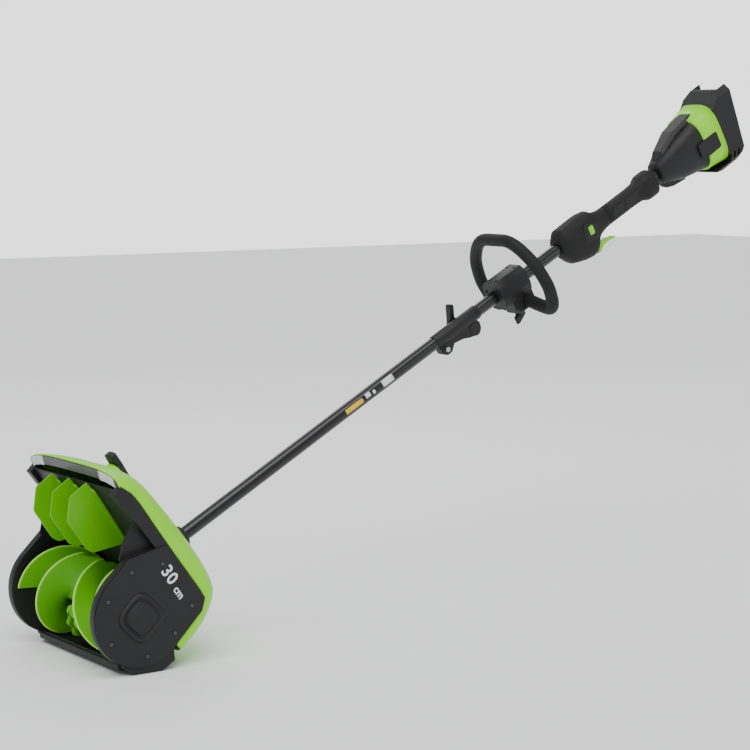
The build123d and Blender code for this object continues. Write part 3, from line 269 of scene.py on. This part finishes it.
def highlightRimMaterial(name, look, rimHighlightColour, edge):
    # Green plastic whose outer rim, past a radius from the auger axle, is painted pale as a highlight where the
    # blade edges catch the light
    material, tree, shader, grain = startMaterial(name, look["base"], look["drift"], look["rough"])
    place = addNode(tree, "ShaderNodeTexCoord")
    shift = addNode(tree, "ShaderNodeVectorMath", operation="SUBTRACT")
    shift.inputs[1].default_value = augerAxis
    flatten = addNode(tree, "ShaderNodeVectorMath", operation="MULTIPLY")
    flatten.inputs[1].default_value = (0, 1, 1)
    reach = addNode(tree, "ShaderNodeVectorMath", operation="LENGTH")
    cut = addNode(tree, "ShaderNodeMapRange")
    cut.inputs["From Min"].default_value = edge - bladeLook["rimHighlightBlend"]
    cut.inputs["From Max"].default_value = edge + bladeLook["rimHighlightBlend"]
    mix = addNode(tree, "ShaderNodeMix", data_type="RGBA")
    mix.inputs[7].default_value = (*rimHighlightColour, 1)
    colour = scuffedColour(tree, grain, bladeLook["scuffColour"], bladeLook["scuffs"])
    link = tree.links.new
    link(place.outputs["Object"], shift.inputs[0])
    link(shift.outputs["Vector"], flatten.inputs[0])
    link(flatten.outputs["Vector"], reach.inputs[0])
    link(reach.outputs["Value"], cut.inputs["Value"])
    link(cut.outputs["Result"], mix.inputs[0])
    link(colour.outputs[2], mix.inputs[6])
    finishSurface(tree, shader, grain, mix.outputs[2], grain.outputs["Height"],
                  look["bump"] * plasticLook["bumpGain"], plasticLook["bumpDistance"])
    shader.inputs["Coat Weight"].default_value = look["coat"]
    shader.inputs["Coat Roughness"].default_value = bladeLook["coatRoughness"]
    return material


def lensMaterial():
    # Clear lens with moulded flutes that read silver
    material, tree, shader, grain = startMaterial("clearLens", (0.75, 0.78, 0.8), (0.55, 0.58, 0.6), (0.1, 0.2))
    place = addNode(tree, "ShaderNodeTexCoord")
    flutes = addNode(tree, "ShaderNodeTexWave", bands_direction="Z")
    flutes.inputs["Scale"].default_value = lensLook["flutes"]
    flutes.inputs["Distortion"].default_value = lensLook["distortion"]
    tree.links.new(place.outputs["Object"], flutes.inputs["Vector"])
    finishSurface(tree, shader, grain, grain.outputs["Color"], flutes.outputs["Fac"], lensLook["bump"],
                  lensLook["bumpDistance"])
    shader.inputs["Metallic"].default_value = lensLook["metallic"]
    shader.inputs["Coat Weight"].default_value = lensLook["coat"]
    shader.inputs["Coat Roughness"].default_value = lensLook["coatRoughness"]
    return material


materials = {name: plasticMaterial(name) for name in finishes}
materials.update({name: metalMaterial(name) for name in metals})
materials["clearLens"] = lensMaterial()
# The pale rim colour of the auger blades is a painted highlight along their outer edge
materials["augerBlade"] = highlightRimMaterial("augerBlade", finishes["greenAuger"], (0.42, 0.85, 0.1), 0.0772)
print("snow shovel: finishes made")

# ---- finish of every carried-over CAD piece
slotFinish = {
    "lime_cover": "limeCover", "lime_control": "limeControl", "green_auger": "greenAuger",
    "black_plastic": "blackPlastic", "soft_grip": "softGrip", "grey_band": "greyBand", "clear_lens": "clearLens",
    "circuit_board": "circuitBoard", "black_tube": "blackTube", "bright_steel": "brightSteel",
    "belt_rubber": "beltRubber", "gearbox_aluminium": "gearboxAluminium", "contact_brass": "contactBrass",
    "copper_wire": "copperWire",
}
nodeFinish = {"auger": "augerBlade", "side_cover_screws": "darkSteel", "clamp_screws": "darkSteel",
              "tube_collar": "beltRubber", "scraper_bar": "blackPlastic"}
slotOfNode = {entry["node"]: entry["material_slot"] for entry in frame["record"]["subparts"]}
for nodeName, nodeObject in frame["nodes"].items():
    finish = nodeFinish.get(nodeName, slotFinish[slotOfNode[nodeName]])
    nodeObject.data.materials.clear()
    nodeObject.data.materials.append(materials[finish])


def addBevel(piece, width, segments=2, angle=35):
    bevel = piece.modifiers.new("edges", "BEVEL")
    bevel.width = width * mm
    bevel.segments = segments
    bevel.limit_method = "ANGLE"
    bevel.angle_limit = math.radians(angle)
    bevel.harden_normals = True
    return piece


# Small bevels catch the light on the moulded edges: their widths in millimetres
edgeSoftening = {
    "left_side_case": 1.2, "right_side_case": 1.2, "battery_dock": 1.6, "handle_clamp": 1.2, "clamp_cap": 0.8,
    "clamp_knob": 1.0, "coupler_sleeve": 1.0, "coupler_knob": 1.0, "skid_shoes": 1.0, "scraper_bar": 1.0,
    "trigger": 0.8, "lockout_button": 0.8, "tube_collar": 0.6, "chute_liner": 0.6, "left_vane": 0.9,
    "centre_vane": 0.9, "right_vane": 0.9, "auger": 0.6,
}
for nodeName, width in edgeSoftening.items():
    nodeObject = frame["nodes"][nodeName]
    weld = nodeObject.modifiers.new("weld", "WELD")
    weld.merge_threshold = 0.02 * mm
    addBevel(nodeObject, width)
print("snow shovel: finishes applied")

# ---- mesh helpers

def meshObject(name, shape, finish, body, smooth=True):
    mesh = bpy.data.meshes.new(name)
    bmesh.ops.recalc_face_normals(shape, faces=shape.faces)
    shape.to_mesh(mesh)
    shape.free()
    for face in mesh.polygons:
        face.use_smooth = smooth
    piece = bpy.data.objects.new(name, mesh)
    bpy.context.scene.collection.objects.link(piece)
    mesh.materials.append(materials[finish])
    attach(piece, body)
    return piece


def roundedRing(width, height, power, count=32):
    # Points of a superellipse, from a circle at power 2 towards a rounded box
    ring = []
    for number in range(count):
        angle = 2 * math.pi * (number + 0.5) / count
        c, s = math.cos(angle), math.sin(angle)
        ring.append((width / 2 * math.copysign(abs(c) ** (2 / power), c),
                     height / 2 * math.copysign(abs(s) ** (2 / power), s)))
    return ring


def joinRows(shape, rows, around=True):
    # Faces between neighbouring rows of vertices, all the way around unless the rows are open
    for first, second in zip(rows, rows[1:]):
        for number in range(len(first) if around else len(first) - 1):
            after = (number + 1) % len(first)
            shape.faces.new((first[number], first[after], second[after], second[number]))


def capEnds(shape, rows):
    shape.faces.new(list(reversed(rows[0])))
    shape.faces.new(rows[-1])


def skin(shape, rings):
    # A closed body through rings of points
    rows = [[shape.verts.new(point) for point in ring] for ring in rings]
    joinRows(shape, rows)
    capEnds(shape, rows)


def shaftBody(name, sections, finish, body, count=32):
    # A body drawn along the shaft through rounded sections: station, rise, width, height, power
    shape = bmesh.new()
    rings = []
    for station, rise, width, height, power in sections:
        rings.append([shaftPoint(station, rise + v, u) for u, v in roundedRing(width, height, power, count)])
    skin(shape, rings)
    return meshObject(name, shape, finish, body)


def plate(name, outline, thickness, place, finish, body, bevel):
    # A flat plate from its outline; place turns (u, v, w) in millimetres into the row frame
    shape = bmesh.new()
    low = [shape.verts.new(place(u, v, 0)) for u, v in outline]
    high = [shape.verts.new(place(u, v, thickness)) for u, v in outline]
    shape.faces.new(list(reversed(low)))
    shape.faces.new(high)
    for number in range(len(outline)):
        after = (number + 1) % len(outline)
        shape.faces.new((low[number], low[after], high[after], high[number]))
    return addBevel(meshObject(name, shape, finish, body, smooth=False), bevel)


# ---- hood: pillow-shaped shell, its base line in side view, outward angle, crown height and squareness
hoodLook = {
    "halfWidth": 166.3,
    "stations": [((-38, 323.5), 108, 28.6, 3.4), ((-14, 311.5), 72, 35.6, 3.1), ((3, 291.5), 50, 45.6, 2.8),
                 ((51.5, 219.5), 37, 59.6, 2.5), ((100, 154), 36, 61.6, 2.4), ((126, 118), 12, 55.6, 2.4),
                 ((107, 83), -35, 49.6, 2.5), ((66, 41), -42, 41.6, 2.6)],
    "wall": 3.0, "steps": 56, "knobSeat": [(58, 28.3), (73.5, 28.3), (75.2, 27.2), (75.2, 24.0)],
}


def between(first, second, t):
    return first + (second - first) * t


def hoodShape():
    # Rings of the hood from the front lip to the rear foot
    rings = []
    stations = hoodLook["stations"]
    for number, (base, angle, crown, power) in enumerate(stations):
        spans = [0.0] if number == len(stations) - 1 else [0.0, 0.5]
        for t in spans:
            after = stations[min(number + 1, len(stations) - 1)]
            y = between(base[0], after[0][0], t)
            z = between(base[1], after[0][1], t)
            turn = math.radians(between(angle, after[1], t))
            height = between(crown, after[2], t)
            square = between(power, after[3], t)
            ring = []
            for step in range(hoodLook["steps"] + 1):
                a = math.pi * step / hoodLook["steps"]
                c, s = math.cos(a), math.sin(a)
                x = hoodLook["halfWidth"] * math.copysign(abs(c) ** (2 / square), c)
                lift = height * abs(s) ** (2 / square)
                ring.append(headPoint(y + math.cos(turn) * lift, z + math.sin(turn) * lift, x))
            rings.append(ring)
    return rings


def makeHood():
    shape = bmesh.new()
    rows = [[shape.verts.new(point) for point in ring] for ring in hoodShape()]
    joinRows(shape, rows, around=False)
    hood = meshObject("hoodShell", shape, "limeCover", "shovel")
    wall = hood.modifiers.new("wall", "SOLIDIFY")
    wall.thickness = hoodLook["wall"] * mm
    wall.offset = -1
    soften = hood.modifiers.new("soften", "SUBSURF")
    soften.levels = soften.render_levels = 1
    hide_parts("hood_cover")
    # Raised seat under the direction knob
    seat = bmesh.new()
    rings = []
    for lift, radius in hoodLook["knobSeat"]:
        rings.append([roofPoint(lift, layout["knobUp"] + radius * math.sin(a), radius * math.cos(a))
                      for a in [2 * math.pi * n / 48 for n in range(48)]])
    skin(seat, rings)
    meshObject("knobSeat", seat, "limeCover", "shovel")


makeHood()

# ---- direction knob: ribbed dome with a finger paddle
knobLook = {
    "base": 75.7, "domeTop": 85.5, "paddleTop": 88.5, "radius": 27.0, "ribs": 18, "ribDepth": 1.1, "steps": 180,
    "dome": [(0.0, 1.0), (0.12, 1.0), (0.55, 0.96), (0.8, 0.88), (0.94, 0.74), (1.0, 0.5), (1.0, 0.1)],
    "paddle": [(-12, -14), (12, -14), (15, 20), (13, 42), (9, 45), (-9, 45), (-13, 42), (-15, 20)],
}


def makeDirectionKnob():
    shape = bmesh.new()
    rings = []
    for share, reach in knobLook["dome"]:
        ring = []
        lift = between(knobLook["base"], knobLook["domeTop"], share)
        ribbed = 0 < share < 0.9
        for n in range(knobLook["steps"]):
            a = 2 * math.pi * n / knobLook["steps"]
            groove = knobLook["ribDepth"] * max(0.0, math.cos(a * knobLook["ribs"])) if ribbed else 0.0
            radius = knobLook["radius"] * reach - groove
            ring.append(roofPoint(lift, layout["knobUp"] + radius * math.sin(a), radius * math.cos(a)))
        rings.append(ring)
    skin(shape, rings)
    dome = meshObject("knobDome", shape, "blackPlastic", "selector")
    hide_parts("direction_knob")

    def spot(u, v, w):
        return roofPoint(knobLook["base"] + w, layout["knobUp"] + v, u)

    def ribSpot(u, v, w):
        return roofPoint(knobLook["paddleTop"] - 0.1 + w, layout["knobUp"] + v, u)
    paddleHeight = knobLook["paddleTop"] - knobLook["base"]
    paddle = plate("knobPaddle", knobLook["paddle"], paddleHeight, spot, "blackPlastic", "selector", 2.2)
    for number in range(4):
        low, high = 17 + 6 * number, 19.4 + 6 * number
        rib = plate(f"paddleRib{number}", [(-9, low), (9, low), (9, high), (-9, high)], 1.1, ribSpot,
                    "blackPlastic", "selector", 0.5)


makeDirectionKnob()

# ---- grey band and wrapped lamps under the hood's lip
bandLook = {"inset": 3.6, "depth": 17.0, "wall": 3.0, "halfWidth": 159.0, "steps": 40, "rippleDepth": 0.5,
            "lampFrom": 106.0, "lampTo": 155.0, "lampProud": 1.2, "lampFlutes": 22}


def archPoint(x, inset, drop):
    # A point of the front arch, pulled in from the lip and dropped towards the mouth
    base, angle, crown, square = hoodLook["stations"][0]
    half = hoodLook["halfWidth"] - inset
    lift = (crown - inset) * (1 - min(1.0, abs(x) / half) ** square) ** (1 / square) - drop
    turn = math.radians(angle)
    return base[0] + math.cos(turn) * lift, base[1] + math.sin(turn) * lift


def archStrip(name, xFrom, xTo, finish, proud, flutes=0):
    # A curved strip following the arch between two x values
    steps = bandLook["steps"]
    shape = bmesh.new()
    rows = []
    out = math.radians(hoodLook["stations"][0][1] + 90)
    for step in range(steps + 1):
        x = between(xFrom, xTo, step / steps)
        ripple = bandLook["rippleDepth"] * math.cos(step * math.pi * flutes / steps) if flutes else 0.0
        topY, topZ = archPoint(x, bandLook["inset"], 0.0)
        lowY, lowZ = archPoint(x, bandLook["inset"], bandLook["depth"])
        push = proud + ripple
        frontTop = headPoint(topY + math.cos(out) * push, topZ + math.sin(out) * push, x)
        frontLow = headPoint(lowY + math.cos(out) * push, lowZ + math.sin(out) * push, x)
        backTop = headPoint(topY - math.cos(out) * bandLook["wall"], topZ - math.sin(out) * bandLook["wall"], x)
        backLow = headPoint(lowY - math.cos(out) * bandLook["wall"], lowZ - math.sin(out) * bandLook["wall"], x)
        rows.append([shape.verts.new(point) for point in (frontTop, frontLow, backLow, backTop)])
    joinRows(shape, rows)
    capEnds(shape, rows)
    piece = addBevel(meshObject(name, shape, finish, "shovel"), 0.5)
    return piece


band = archStrip("hoodBand", -bandLook["halfWidth"], bandLook["halfWidth"], "greyBand", 0.0)
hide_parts("front_band")
leftLamp = archStrip("leftLampLens", bandLook["lampFrom"], bandLook["lampTo"], "clearLens",
                     bandLook["lampProud"], bandLook["lampFlutes"])
archStrip("rightLampLens", -bandLook["lampTo"], -bandLook["lampFrom"], "clearLens",
          bandLook["lampProud"], bandLook["lampFlutes"])
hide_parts("headlight_lenses")
print("snow shovel: hood, band and lamps built")

# ---- side covers: flat plate, concave boss over the axle, screw wells ringed with painted shade and the width marking
coverLook = {"inner": 167.0, "face": 170.0, "radius": 87.2, "boss": (-1.0, 98.5), "markSize": 0.031,
             "plate": 3.0, "diagonal": 0.7071, "wellSteps": 28, "inkDepth": 0.00012,
             "profile": [(74, 0.02), (72.5, 1.2), (70, 2.6), (67, 3.5), (64, 3.8), (61.5, 3.5), (58.5, 2.2),
                         (55, 1.0), (52, 0.9), (50.2, 2.2), (49, 4.0), (47.5, 4.7), (45.0, 4.9), (38, 4.9),
                         (36.5, 4.5), (35.5, 4.4), (15, 4.4)],
             "corners": [(118.0, 95.5), (124.0, 117.9), (52.6, 215.2), (44.2, 216.2), (-21.6, 201.2)],
             "screws": [(41.7, 186), (-17.6, 177.8), (-62.8, 132.6), (-58.3, 59.9), (10.5, 29.9), (64, 63.4),
                        (97.6, 107)]}


def coverPoint(side, y, z, lift):
    return headPoint(y, z, side * (coverLook["face"] + lift))


def coverOutline():
    turns = [math.radians(between(135, 317.5, step / 40)) for step in range(41)]
    front = [(coverLook["radius"] * math.cos(a), 100 + coverLook["radius"] * math.sin(a)) for a in turns]
    return front + coverLook["corners"]


def makeCover(side, label):
    def spot(u, v, w):
        return headPoint(u, v, side * (coverLook["inner"] + w))
    cover = plate(f"{label}CoverPlate", coverOutline(), coverLook["plate"], spot, "blackPlastic", "shovel", 0.9)
    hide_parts(f"{label}_side_cover")
    # Rounded square turned on its corner: shoulder, concave moat and a raised middle
    shape = bmesh.new()
    rings = []
    centreY, centreZ = coverLook["boss"]
    diagonal = coverLook["diagonal"]
    for width, lift in coverLook["profile"]:
        ring = []
        for u, v in roundedRing(width, width, 3.6, 64):
            ring.append(coverPoint(side, centreY + (u - v) * diagonal, centreZ + (u + v) * diagonal, lift))
        rings.append(ring)
    skin(shape, rings)
    meshObject(f"{label}CoverBoss", shape, "blackPlastic", "shovel")
    for number, place in enumerate(coverLook["screws"]):
        # Dark ring around each screw head, painted as the shade of its well
        ringBand(f"{label}ScrewWell{number}", side, place, 5.2, 3.6, 0.5, "darkRecess")
        ringBand(f"{label}ScrewHead{number}", side, place, 3.4, 1.1, 0.4, "darkSteel")


def ringBand(name, side, centre, rOut, rIn, lift, finish):
    # A thin round ring lying on the cover
    shape = bmesh.new()
    rows = []
    turns = [2 * math.pi * n / coverLook["wellSteps"] for n in range(coverLook["wellSteps"])]
    for radius, height in ((rOut, 0.02), (rOut - 0.25, lift), (rIn + 0.25, lift), (rIn, 0.02)):
        rows.append([shape.verts.new(coverPoint(side, centre[0] + radius * math.cos(a),
                                                centre[1] + radius * math.sin(a), height)) for a in turns])
    joinRows(shape, rows)
    piece = meshObject(name, shape, finish, "shovel")
    return piece


def makeMarking():
    # Clearing width printed on the left cover, along its sloping edge
    run = Vector((0, 0.566, -0.824))
    up = Vector((0, 0.824, 0.566))
    for name, body, share, offset, spacing, start in (("widthMark", "30", 1.0, 0.0005, 1.1, (37.0, 173.5)),
                                                      ("unitMark", "cm", 0.62, 0.0004, 1.0, (60.5, 139.0))):
        curve = bpy.data.curves.new(name, "FONT")
        curve.body = body
        curve.size = coverLook["markSize"] * share
        curve.extrude = coverLook["inkDepth"]
        curve.offset = offset
        curve.space_character = spacing
        mark = bpy.data.objects.new(name, curve)
        bpy.context.scene.collection.objects.link(mark)
        face = run.cross(up)
        mark.matrix_world = (Matrix.Translation(coverPoint(1, start[0], start[1], 0.16))
                             @ Matrix((run, up, face)).transposed().to_4x4())
        curve.materials.append(materials["whiteInk"])
        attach(mark, "shovel")


makeCover(1, "left")
makeCover(-1, "right")
makeMarking()
print("snow shovel: side covers detailed")

# ---- loop handle: round bar, a little thicker in its arms
loopLook = {"station": 855.0, "top": 98.0, "barWidth": 25.0, "barDepth": 24.8, "armSwell": 1.06, "barSteps": 20,
            "pocketStation": 799.6, "pocketRise": 12, "pocketSide": 18, "pocketRadius": 3.6}


def smoothLoop(points, passes=3):
    # Rounds a closed line of points by cutting its corners
    for _ in range(passes):
        finer = []
        for number, point in enumerate(points):
            after = points[(number + 1) % len(points)]
            finer.append(point.lerp(after, 0.25))
            finer.append(point.lerp(after, 0.75))
        points = finer
    return points


def makeLoop():
    top = loopLook["top"]
    corners = [(-50, top), (0, top + 0.5), (50, top), (91, 55), (104, 18), (107, -13), (90, -56), (58, -50),
               (24, -38), (-24, -38), (-58, -50), (-90, -56), (-107, -13), (-104, 18), (-91, 55)]
    line = smoothLoop([Vector((u, v, 0)) for u, v in corners])
    shape = bmesh.new()
    rows = []
    for number, point in enumerate(line):
        ahead = (line[(number + 1) % len(line)] - line[number - 1]).normalized()
        side = Vector((ahead.y, -ahead.x, 0))
        swell = loopLook["armSwell"] if point.y < -30 else 1.0
        ring = []
        for n in range(loopLook["barSteps"]):
            a = 2 * math.pi * n / loopLook["barSteps"]
            inPlane = math.cos(a) * loopLook["barDepth"] / 2 * swell
            alongShaft = math.sin(a) * loopLook["barWidth"] / 2 * swell
            spot = point + side * inPlane
            ring.append(shape.verts.new(shaftPoint(loopLook["station"] + alongShaft, spot.y, spot.x)))
        rows.append(ring)
    joinRows(shape, rows + rows[:1])
    loop = meshObject("loopBar", shape, "softGrip", "loop")
    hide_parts("loop_handle")
    # Dark discs in the saddle's front, painted as the shade inside its screw pockets
    radius = loopLook["pocketRadius"]
    for name, side in (("saddlePocketLeft", loopLook["pocketSide"]),
                       ("saddlePocketRight", -loopLook["pocketSide"])):
        shape = bmesh.new()
        rings = []
        for depth, size in ((0.0, radius), (0.5, radius), (0.5, radius * 0.4)):
            rings.append([shaftPoint(loopLook["pocketStation"] - depth,
                                     loopLook["pocketRise"] + size * math.sin(2 * math.pi * n / 24),
                                     side + size * math.cos(2 * math.pi * n / 24)) for n in range(24)])
        skin(shape, rings)
        meshObject(name, shape, "darkRecess", "loop")


makeLoop()
print("snow shovel: loop handle built")

# ---- switch housing, grip and collar
gripLook = {
    "housing": [(982.2, 0, 36, 38, 2.2), (984, 0, 42, 46, 2.3), (996, -3, 54, 74, 2.6), (999, -4, 56, 78, 2.6),
                (1010, -6, 57.5, 82, 2.7), (1030, -9, 58, 89, 2.8), (1050, -10.5, 58, 92.5, 2.8),
                (1062, -10, 57, 91, 2.7), (1070, -7, 54, 82, 2.6), (1077, -2, 50, 70, 2.5),
                (1086, -3, 44, 56, 2.4), (1098, -4.5, 38.5, 46, 2.4), (1110, -5, 36, 41, 2.4),
                (1122, -5, 35.4, 39.5, 2.4)],
    "grip": [(1120, -5, 35.6, 39.6, 2.4), (1150, -5, 35.2, 39.2, 2.5), (1190, -5, 35.4, 39.4, 2.5),
             (1214, -5, 37, 41, 2.5), (1221, -5, 39, 43, 2.5), (1228, -5, 46, 51, 2.4), (1235, -5, 51, 57, 2.3),
             (1240, -5, 52, 58, 2.3), (1258, -5, 52, 58, 2.3), (1261, -5, 50, 56, 2.3), (1261.8, -5, 44, 50, 2.3)],
}


def makeGrip():
    housing = shaftBody("switchHousing", gripLook["housing"], "softGrip", "shovel", 48)
    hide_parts("left_grip_shell", "right_grip_shell")
    grip = shaftBody("rearGrip", gripLook["grip"], "softGrip", "shovel", 48)
    # Two soft inlays on each side of the grip
    for side, label in ((1, "left"), (-1, "right")):
        for number, outline in enumerate(([(1128, -13), (1160, -13), (1168, 6), (1136, 6)],
                                          [(1166, -13), (1212, -13), (1212, 6), (1174, 6)])):
            def spot(u, v, w, side=side):
                return shaftPoint(u, v, side * (17.0 + w))
            inlay = plate(f"{label}GripInlay{number}", outline, 1.1, spot, "beltRubber", "shovel", 0.5)

    # Raised panel around the release button
    def panelSpot(u, v, w):
        return shaftPoint(u, v, 27.0 + w)
    panel = plate("buttonPanel", [(1034, -16), (1040, 17), (1050, 21), (1078, 6), (1068, -22)], 2.3, panelSpot,
                  "blackPlastic", "shovel", 0.8)


makeGrip()
print("snow shovel: grip built")

# ---- motor housing with its spine, side panel and bright wrap
motorLook = {
    "body": [(1280.3, 0, 40, 42, 2.2), (1284, 0, 46, 48, 2.3), (1300, 1, 57, 60, 2.5), (1330, 3, 78, 84, 2.8),
             (1362, 5, 87, 98, 3.0), (1395, 7, 96, 112, 3.2), (1420, 8, 98.5, 118.5, 3.3),
             (1441.5, 9, 100, 123.5, 3.4)],
    "wrap": [(1392.6, 7, 102.6, 118.6, 3.3), (1398, 7.1, 103, 119, 3.3), (1420, 8.1, 105.6, 125.6, 3.4),
             (1441.6, 9, 107.6, 132.4, 3.5)],
    "spine": [(1290, 20, 27, 22, 14), (1306, 24, 41, 34, 22), (1350, 36, 62, 44, 30), (1395, 50, 69, 46, 32),
              (1412, 56, 70, 44, 30)],
    "fin": [(1284, -29, -12, 16), (1292, -37, -12, 22), (1308, -42, -14, 24), (1345, -47, -20, 20)],
    "panel": [(1372, -14), (1392, -17), (1424, -15), (1428, -11), (1428, 17), (1424, 21), (1392, 20), (1372, 16)],
    "slot": [(0, -2.6), (15, -2.6), (18, 2.6), (2, 2.6)],
}


def makeMotorHousing():
    body = shaftBody("motorShell", motorLook["body"], "blackPlastic", "shovel", 56)
    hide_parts("motor_housing")
    wrapped = shaftBody("motorWrap", motorLook["wrap"], "limeCover", "shovel", 56)
    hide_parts("motor_cover")
    # Raised spine on top
    shape = bmesh.new()
    rings = []
    for station, low, high, wide, top in motorLook["spine"]:
        rings.append([shaftPoint(station, low, -wide / 2), shaftPoint(station, high - 6, -wide / 2),
                      shaftPoint(station, high, -top / 2), shaftPoint(station, high, top / 2),
                      shaftPoint(station, high - 6, wide / 2), shaftPoint(station, low, wide / 2)])
    skin(shape, rings)
    spine = addBevel(meshObject("motorSpine", shape, "blackPlastic", "shovel", False), 1.8, 3, 20)
    # Three air slots on each side of the spine, dark plates painted as the shade inside the slots
    for side, label in ((1, "left"), (-1, "right")):
        for number in range(3):
            start = 1322 + 22 * number
            rise = 40 + 7.0 * number
            reach = 19.3 + 2.1 * number

            def spot(u, v, w, side=side, start=start, rise=rise, reach=reach):
                return shaftPoint(start + u, rise + v + u * 0.3, side * (reach + w + u * 0.06))
            slot = plate(f"{label}AirSlot{number}", motorLook["slot"], 0.9, spot, "darkRecess", "shovel", 0.2)

        # Dark panel laid on the bright wrap
        def panelSpot(u, v, w, side=side):
            return shaftPoint(u, v, side * (47.8 + (u - 1360) * 0.062 + w))
        panel = plate(f"{label}MotorPanel", motorLook["panel"], 1.6, panelSpot, "blackPlastic", "shovel", 0.6)
    # Fin under the body
    fin = bmesh.new()
    rings = []
    for station, low, high, wide in motorLook["fin"]:
        rings.append([shaftPoint(station, high, -wide / 2), shaftPoint(station, low, -wide / 2 + 3),
                      shaftPoint(station, low, wide / 2 - 3), shaftPoint(station, high, wide / 2)])
    skin(fin, rings)
    addBevel(meshObject("motorFin", fin, "blackPlastic", "shovel", False), 1.5, 2, 20)


makeMotorHousing()
print("snow shovel: motor housing built")

# ---- printed patches on the lower tube
printLook = {"tubeRadius": 12.7, "radius": 12.78, "turn": 18, "patches": [
    ("yellowStrip", 388, 432, -30, 12, "yellowInk"), ("plainBlock", 440, 452, -20, 20, "whiteInk"),
    ("smallPatch", 458, 464, -26, 6, "whiteInk"), ("largeBlock", 484, 512, -34, 26, "whiteInk")]}


def makePatches():
    for name, start, end, low, high, finish in printLook["patches"]:
        shape = bmesh.new()
        rows = []
        for step in range(9):
            angle = math.radians(between(low, high, step / 8) + printLook["turn"])
            row = []
            for station, radius in ((start, printLook["tubeRadius"]), (start, printLook["radius"]),
                                    (end, printLook["radius"]), (end, printLook["tubeRadius"])):
                spot = shaftPoint(station, radius * math.sin(angle), radius * math.cos(angle))
                row.append(shape.verts.new(spot))
            rows.append(row)
        joinRows(shape, rows)
        capEnds(shape, rows)
        patch = meshObject(name, shape, finish, "shovel")


makePatches()
print("snow shovel: tube markings built")

# ---- floor, light and camera
studio = {"floorSize": 12.0, "floorDrop": -0.0005, "floorColour": (0.97, 0.972, 0.975),
          "floorDrift": (0.95, 0.952, 0.955), "sunPower": 2.4, "sunSpread": 50.0, "sunAim": (-0.45, 0.42, -1.0),
          "fillPower": 16.0, "rimPower": 26.0, "skyColour": (0.95, 0.96, 0.98, 1), "skyStrength": 0.62,
          "backdropColour": (0.96, 0.965, 0.97, 1), "backdropStrength": 2.2}


def areaLight(name, place, target, size, power):
    lamp = bpy.data.lights.new(name, "AREA")
    lamp.shape = "RECTANGLE"
    lamp.size, lamp.size_y = size
    lamp.energy = power
    holder = bpy.data.objects.new(name, lamp)
    bpy.context.scene.collection.objects.link(holder)
    holder.location = place
    holder.rotation_euler = (Vector(target) - Vector(place)).to_track_quat("-Z", "Y").to_euler()


def makeStudio():
    floorMesh = bpy.data.meshes.new("studioFloor")
    shape = bmesh.new()
    bmesh.ops.create_grid(shape, x_segments=4, y_segments=4, size=studio["floorSize"])
    shape.to_mesh(floorMesh)
    shape.free()
    floor = bpy.data.objects.new("studioFloor", floorMesh)
    bpy.context.scene.collection.objects.link(floor)
    floor.location.z = studio["floorDrop"]
    material, tree, shader, grain = startMaterial("paleFloor", studio["floorColour"], studio["floorDrift"],
                                                  (0.8, 0.9), 1.5, 40.0)
    tree.links.new(grain.outputs["Color"], shader.inputs["Base Color"])
    tree.links.new(grain.outputs["Roughness"], shader.inputs["Roughness"])
    floorMesh.materials.append(material)
    world = bpy.data.worlds.new("studioSky")
    world.use_nodes = True
    sky = world.node_tree
    lit = sky.nodes["Background"]
    lit.inputs["Color"].default_value = studio["skyColour"]
    lit.inputs["Strength"].default_value = studio["skyStrength"]
    seen = addNode(sky, "ShaderNodeBackground")
    seen.inputs["Color"].default_value = studio["backdropColour"]
    seen.inputs["Strength"].default_value = studio["backdropStrength"]
    path = addNode(sky, "ShaderNodeLightPath")
    blend = addNode(sky, "ShaderNodeMixShader")
    sky.links.new(path.outputs["Is Camera Ray"], blend.inputs[0])
    sky.links.new(lit.outputs["Background"], blend.inputs[1])
    sky.links.new(seen.outputs["Background"], blend.inputs[2])
    sky.links.new(blend.outputs["Shader"], sky.nodes["World Output"].inputs["Surface"])
    bpy.context.scene.world = world
    sunData = bpy.data.lights.new("keyLight", "SUN")
    sunData.energy = studio["sunPower"]
    sunData.angle = math.radians(studio["sunSpread"])
    sun = bpy.data.objects.new("keyLight", sunData)
    bpy.context.scene.collection.objects.link(sun)
    sun.rotation_euler = Vector(studio["sunAim"]).to_track_quat("-Z", "Y").to_euler()
    areaLight("fillLight", (3.2, 2.2, 1.8), (0, 0.1, 0.5), (2.0, 1.4), studio["fillPower"])
    areaLight("rimLight", (-2.6, 0.6, 2.8), (0, 0, 0.5), (2.0, 1.2), studio["rimPower"])


makeStudio()

# The camera's place is given from the auger axis along Y; its axes point right and up in the view
view = {"lens": 102.24, "sensor": 36.0, "side": 3.29505, "ahead": 1.68777, "height": 0.8954,
        "right": (0.5702, 0.8215, -0.0025), "up": (-0.0878, 0.0640, 0.9941)}
cameraData = bpy.data.cameras.new("viewCamera")
cameraData.lens = view["lens"]
cameraData.sensor_width = view["sensor"]
camera = bpy.data.objects.new("viewCamera", cameraData)
bpy.context.scene.collection.objects.link(camera)
cameraRight, cameraUp = Vector(view["right"]), Vector(view["up"])
cameraTurn = Matrix((cameraRight, cameraUp, cameraRight.cross(cameraUp))).transposed().to_4x4()
cameraPlace = Vector((view["side"], augerAxis.y - view["ahead"], view["height"]))
camera.matrix_world = Matrix.Translation(cameraPlace) @ cameraTurn
bpy.context.scene.camera = camera
print("snow shovel: camera and lights ready")
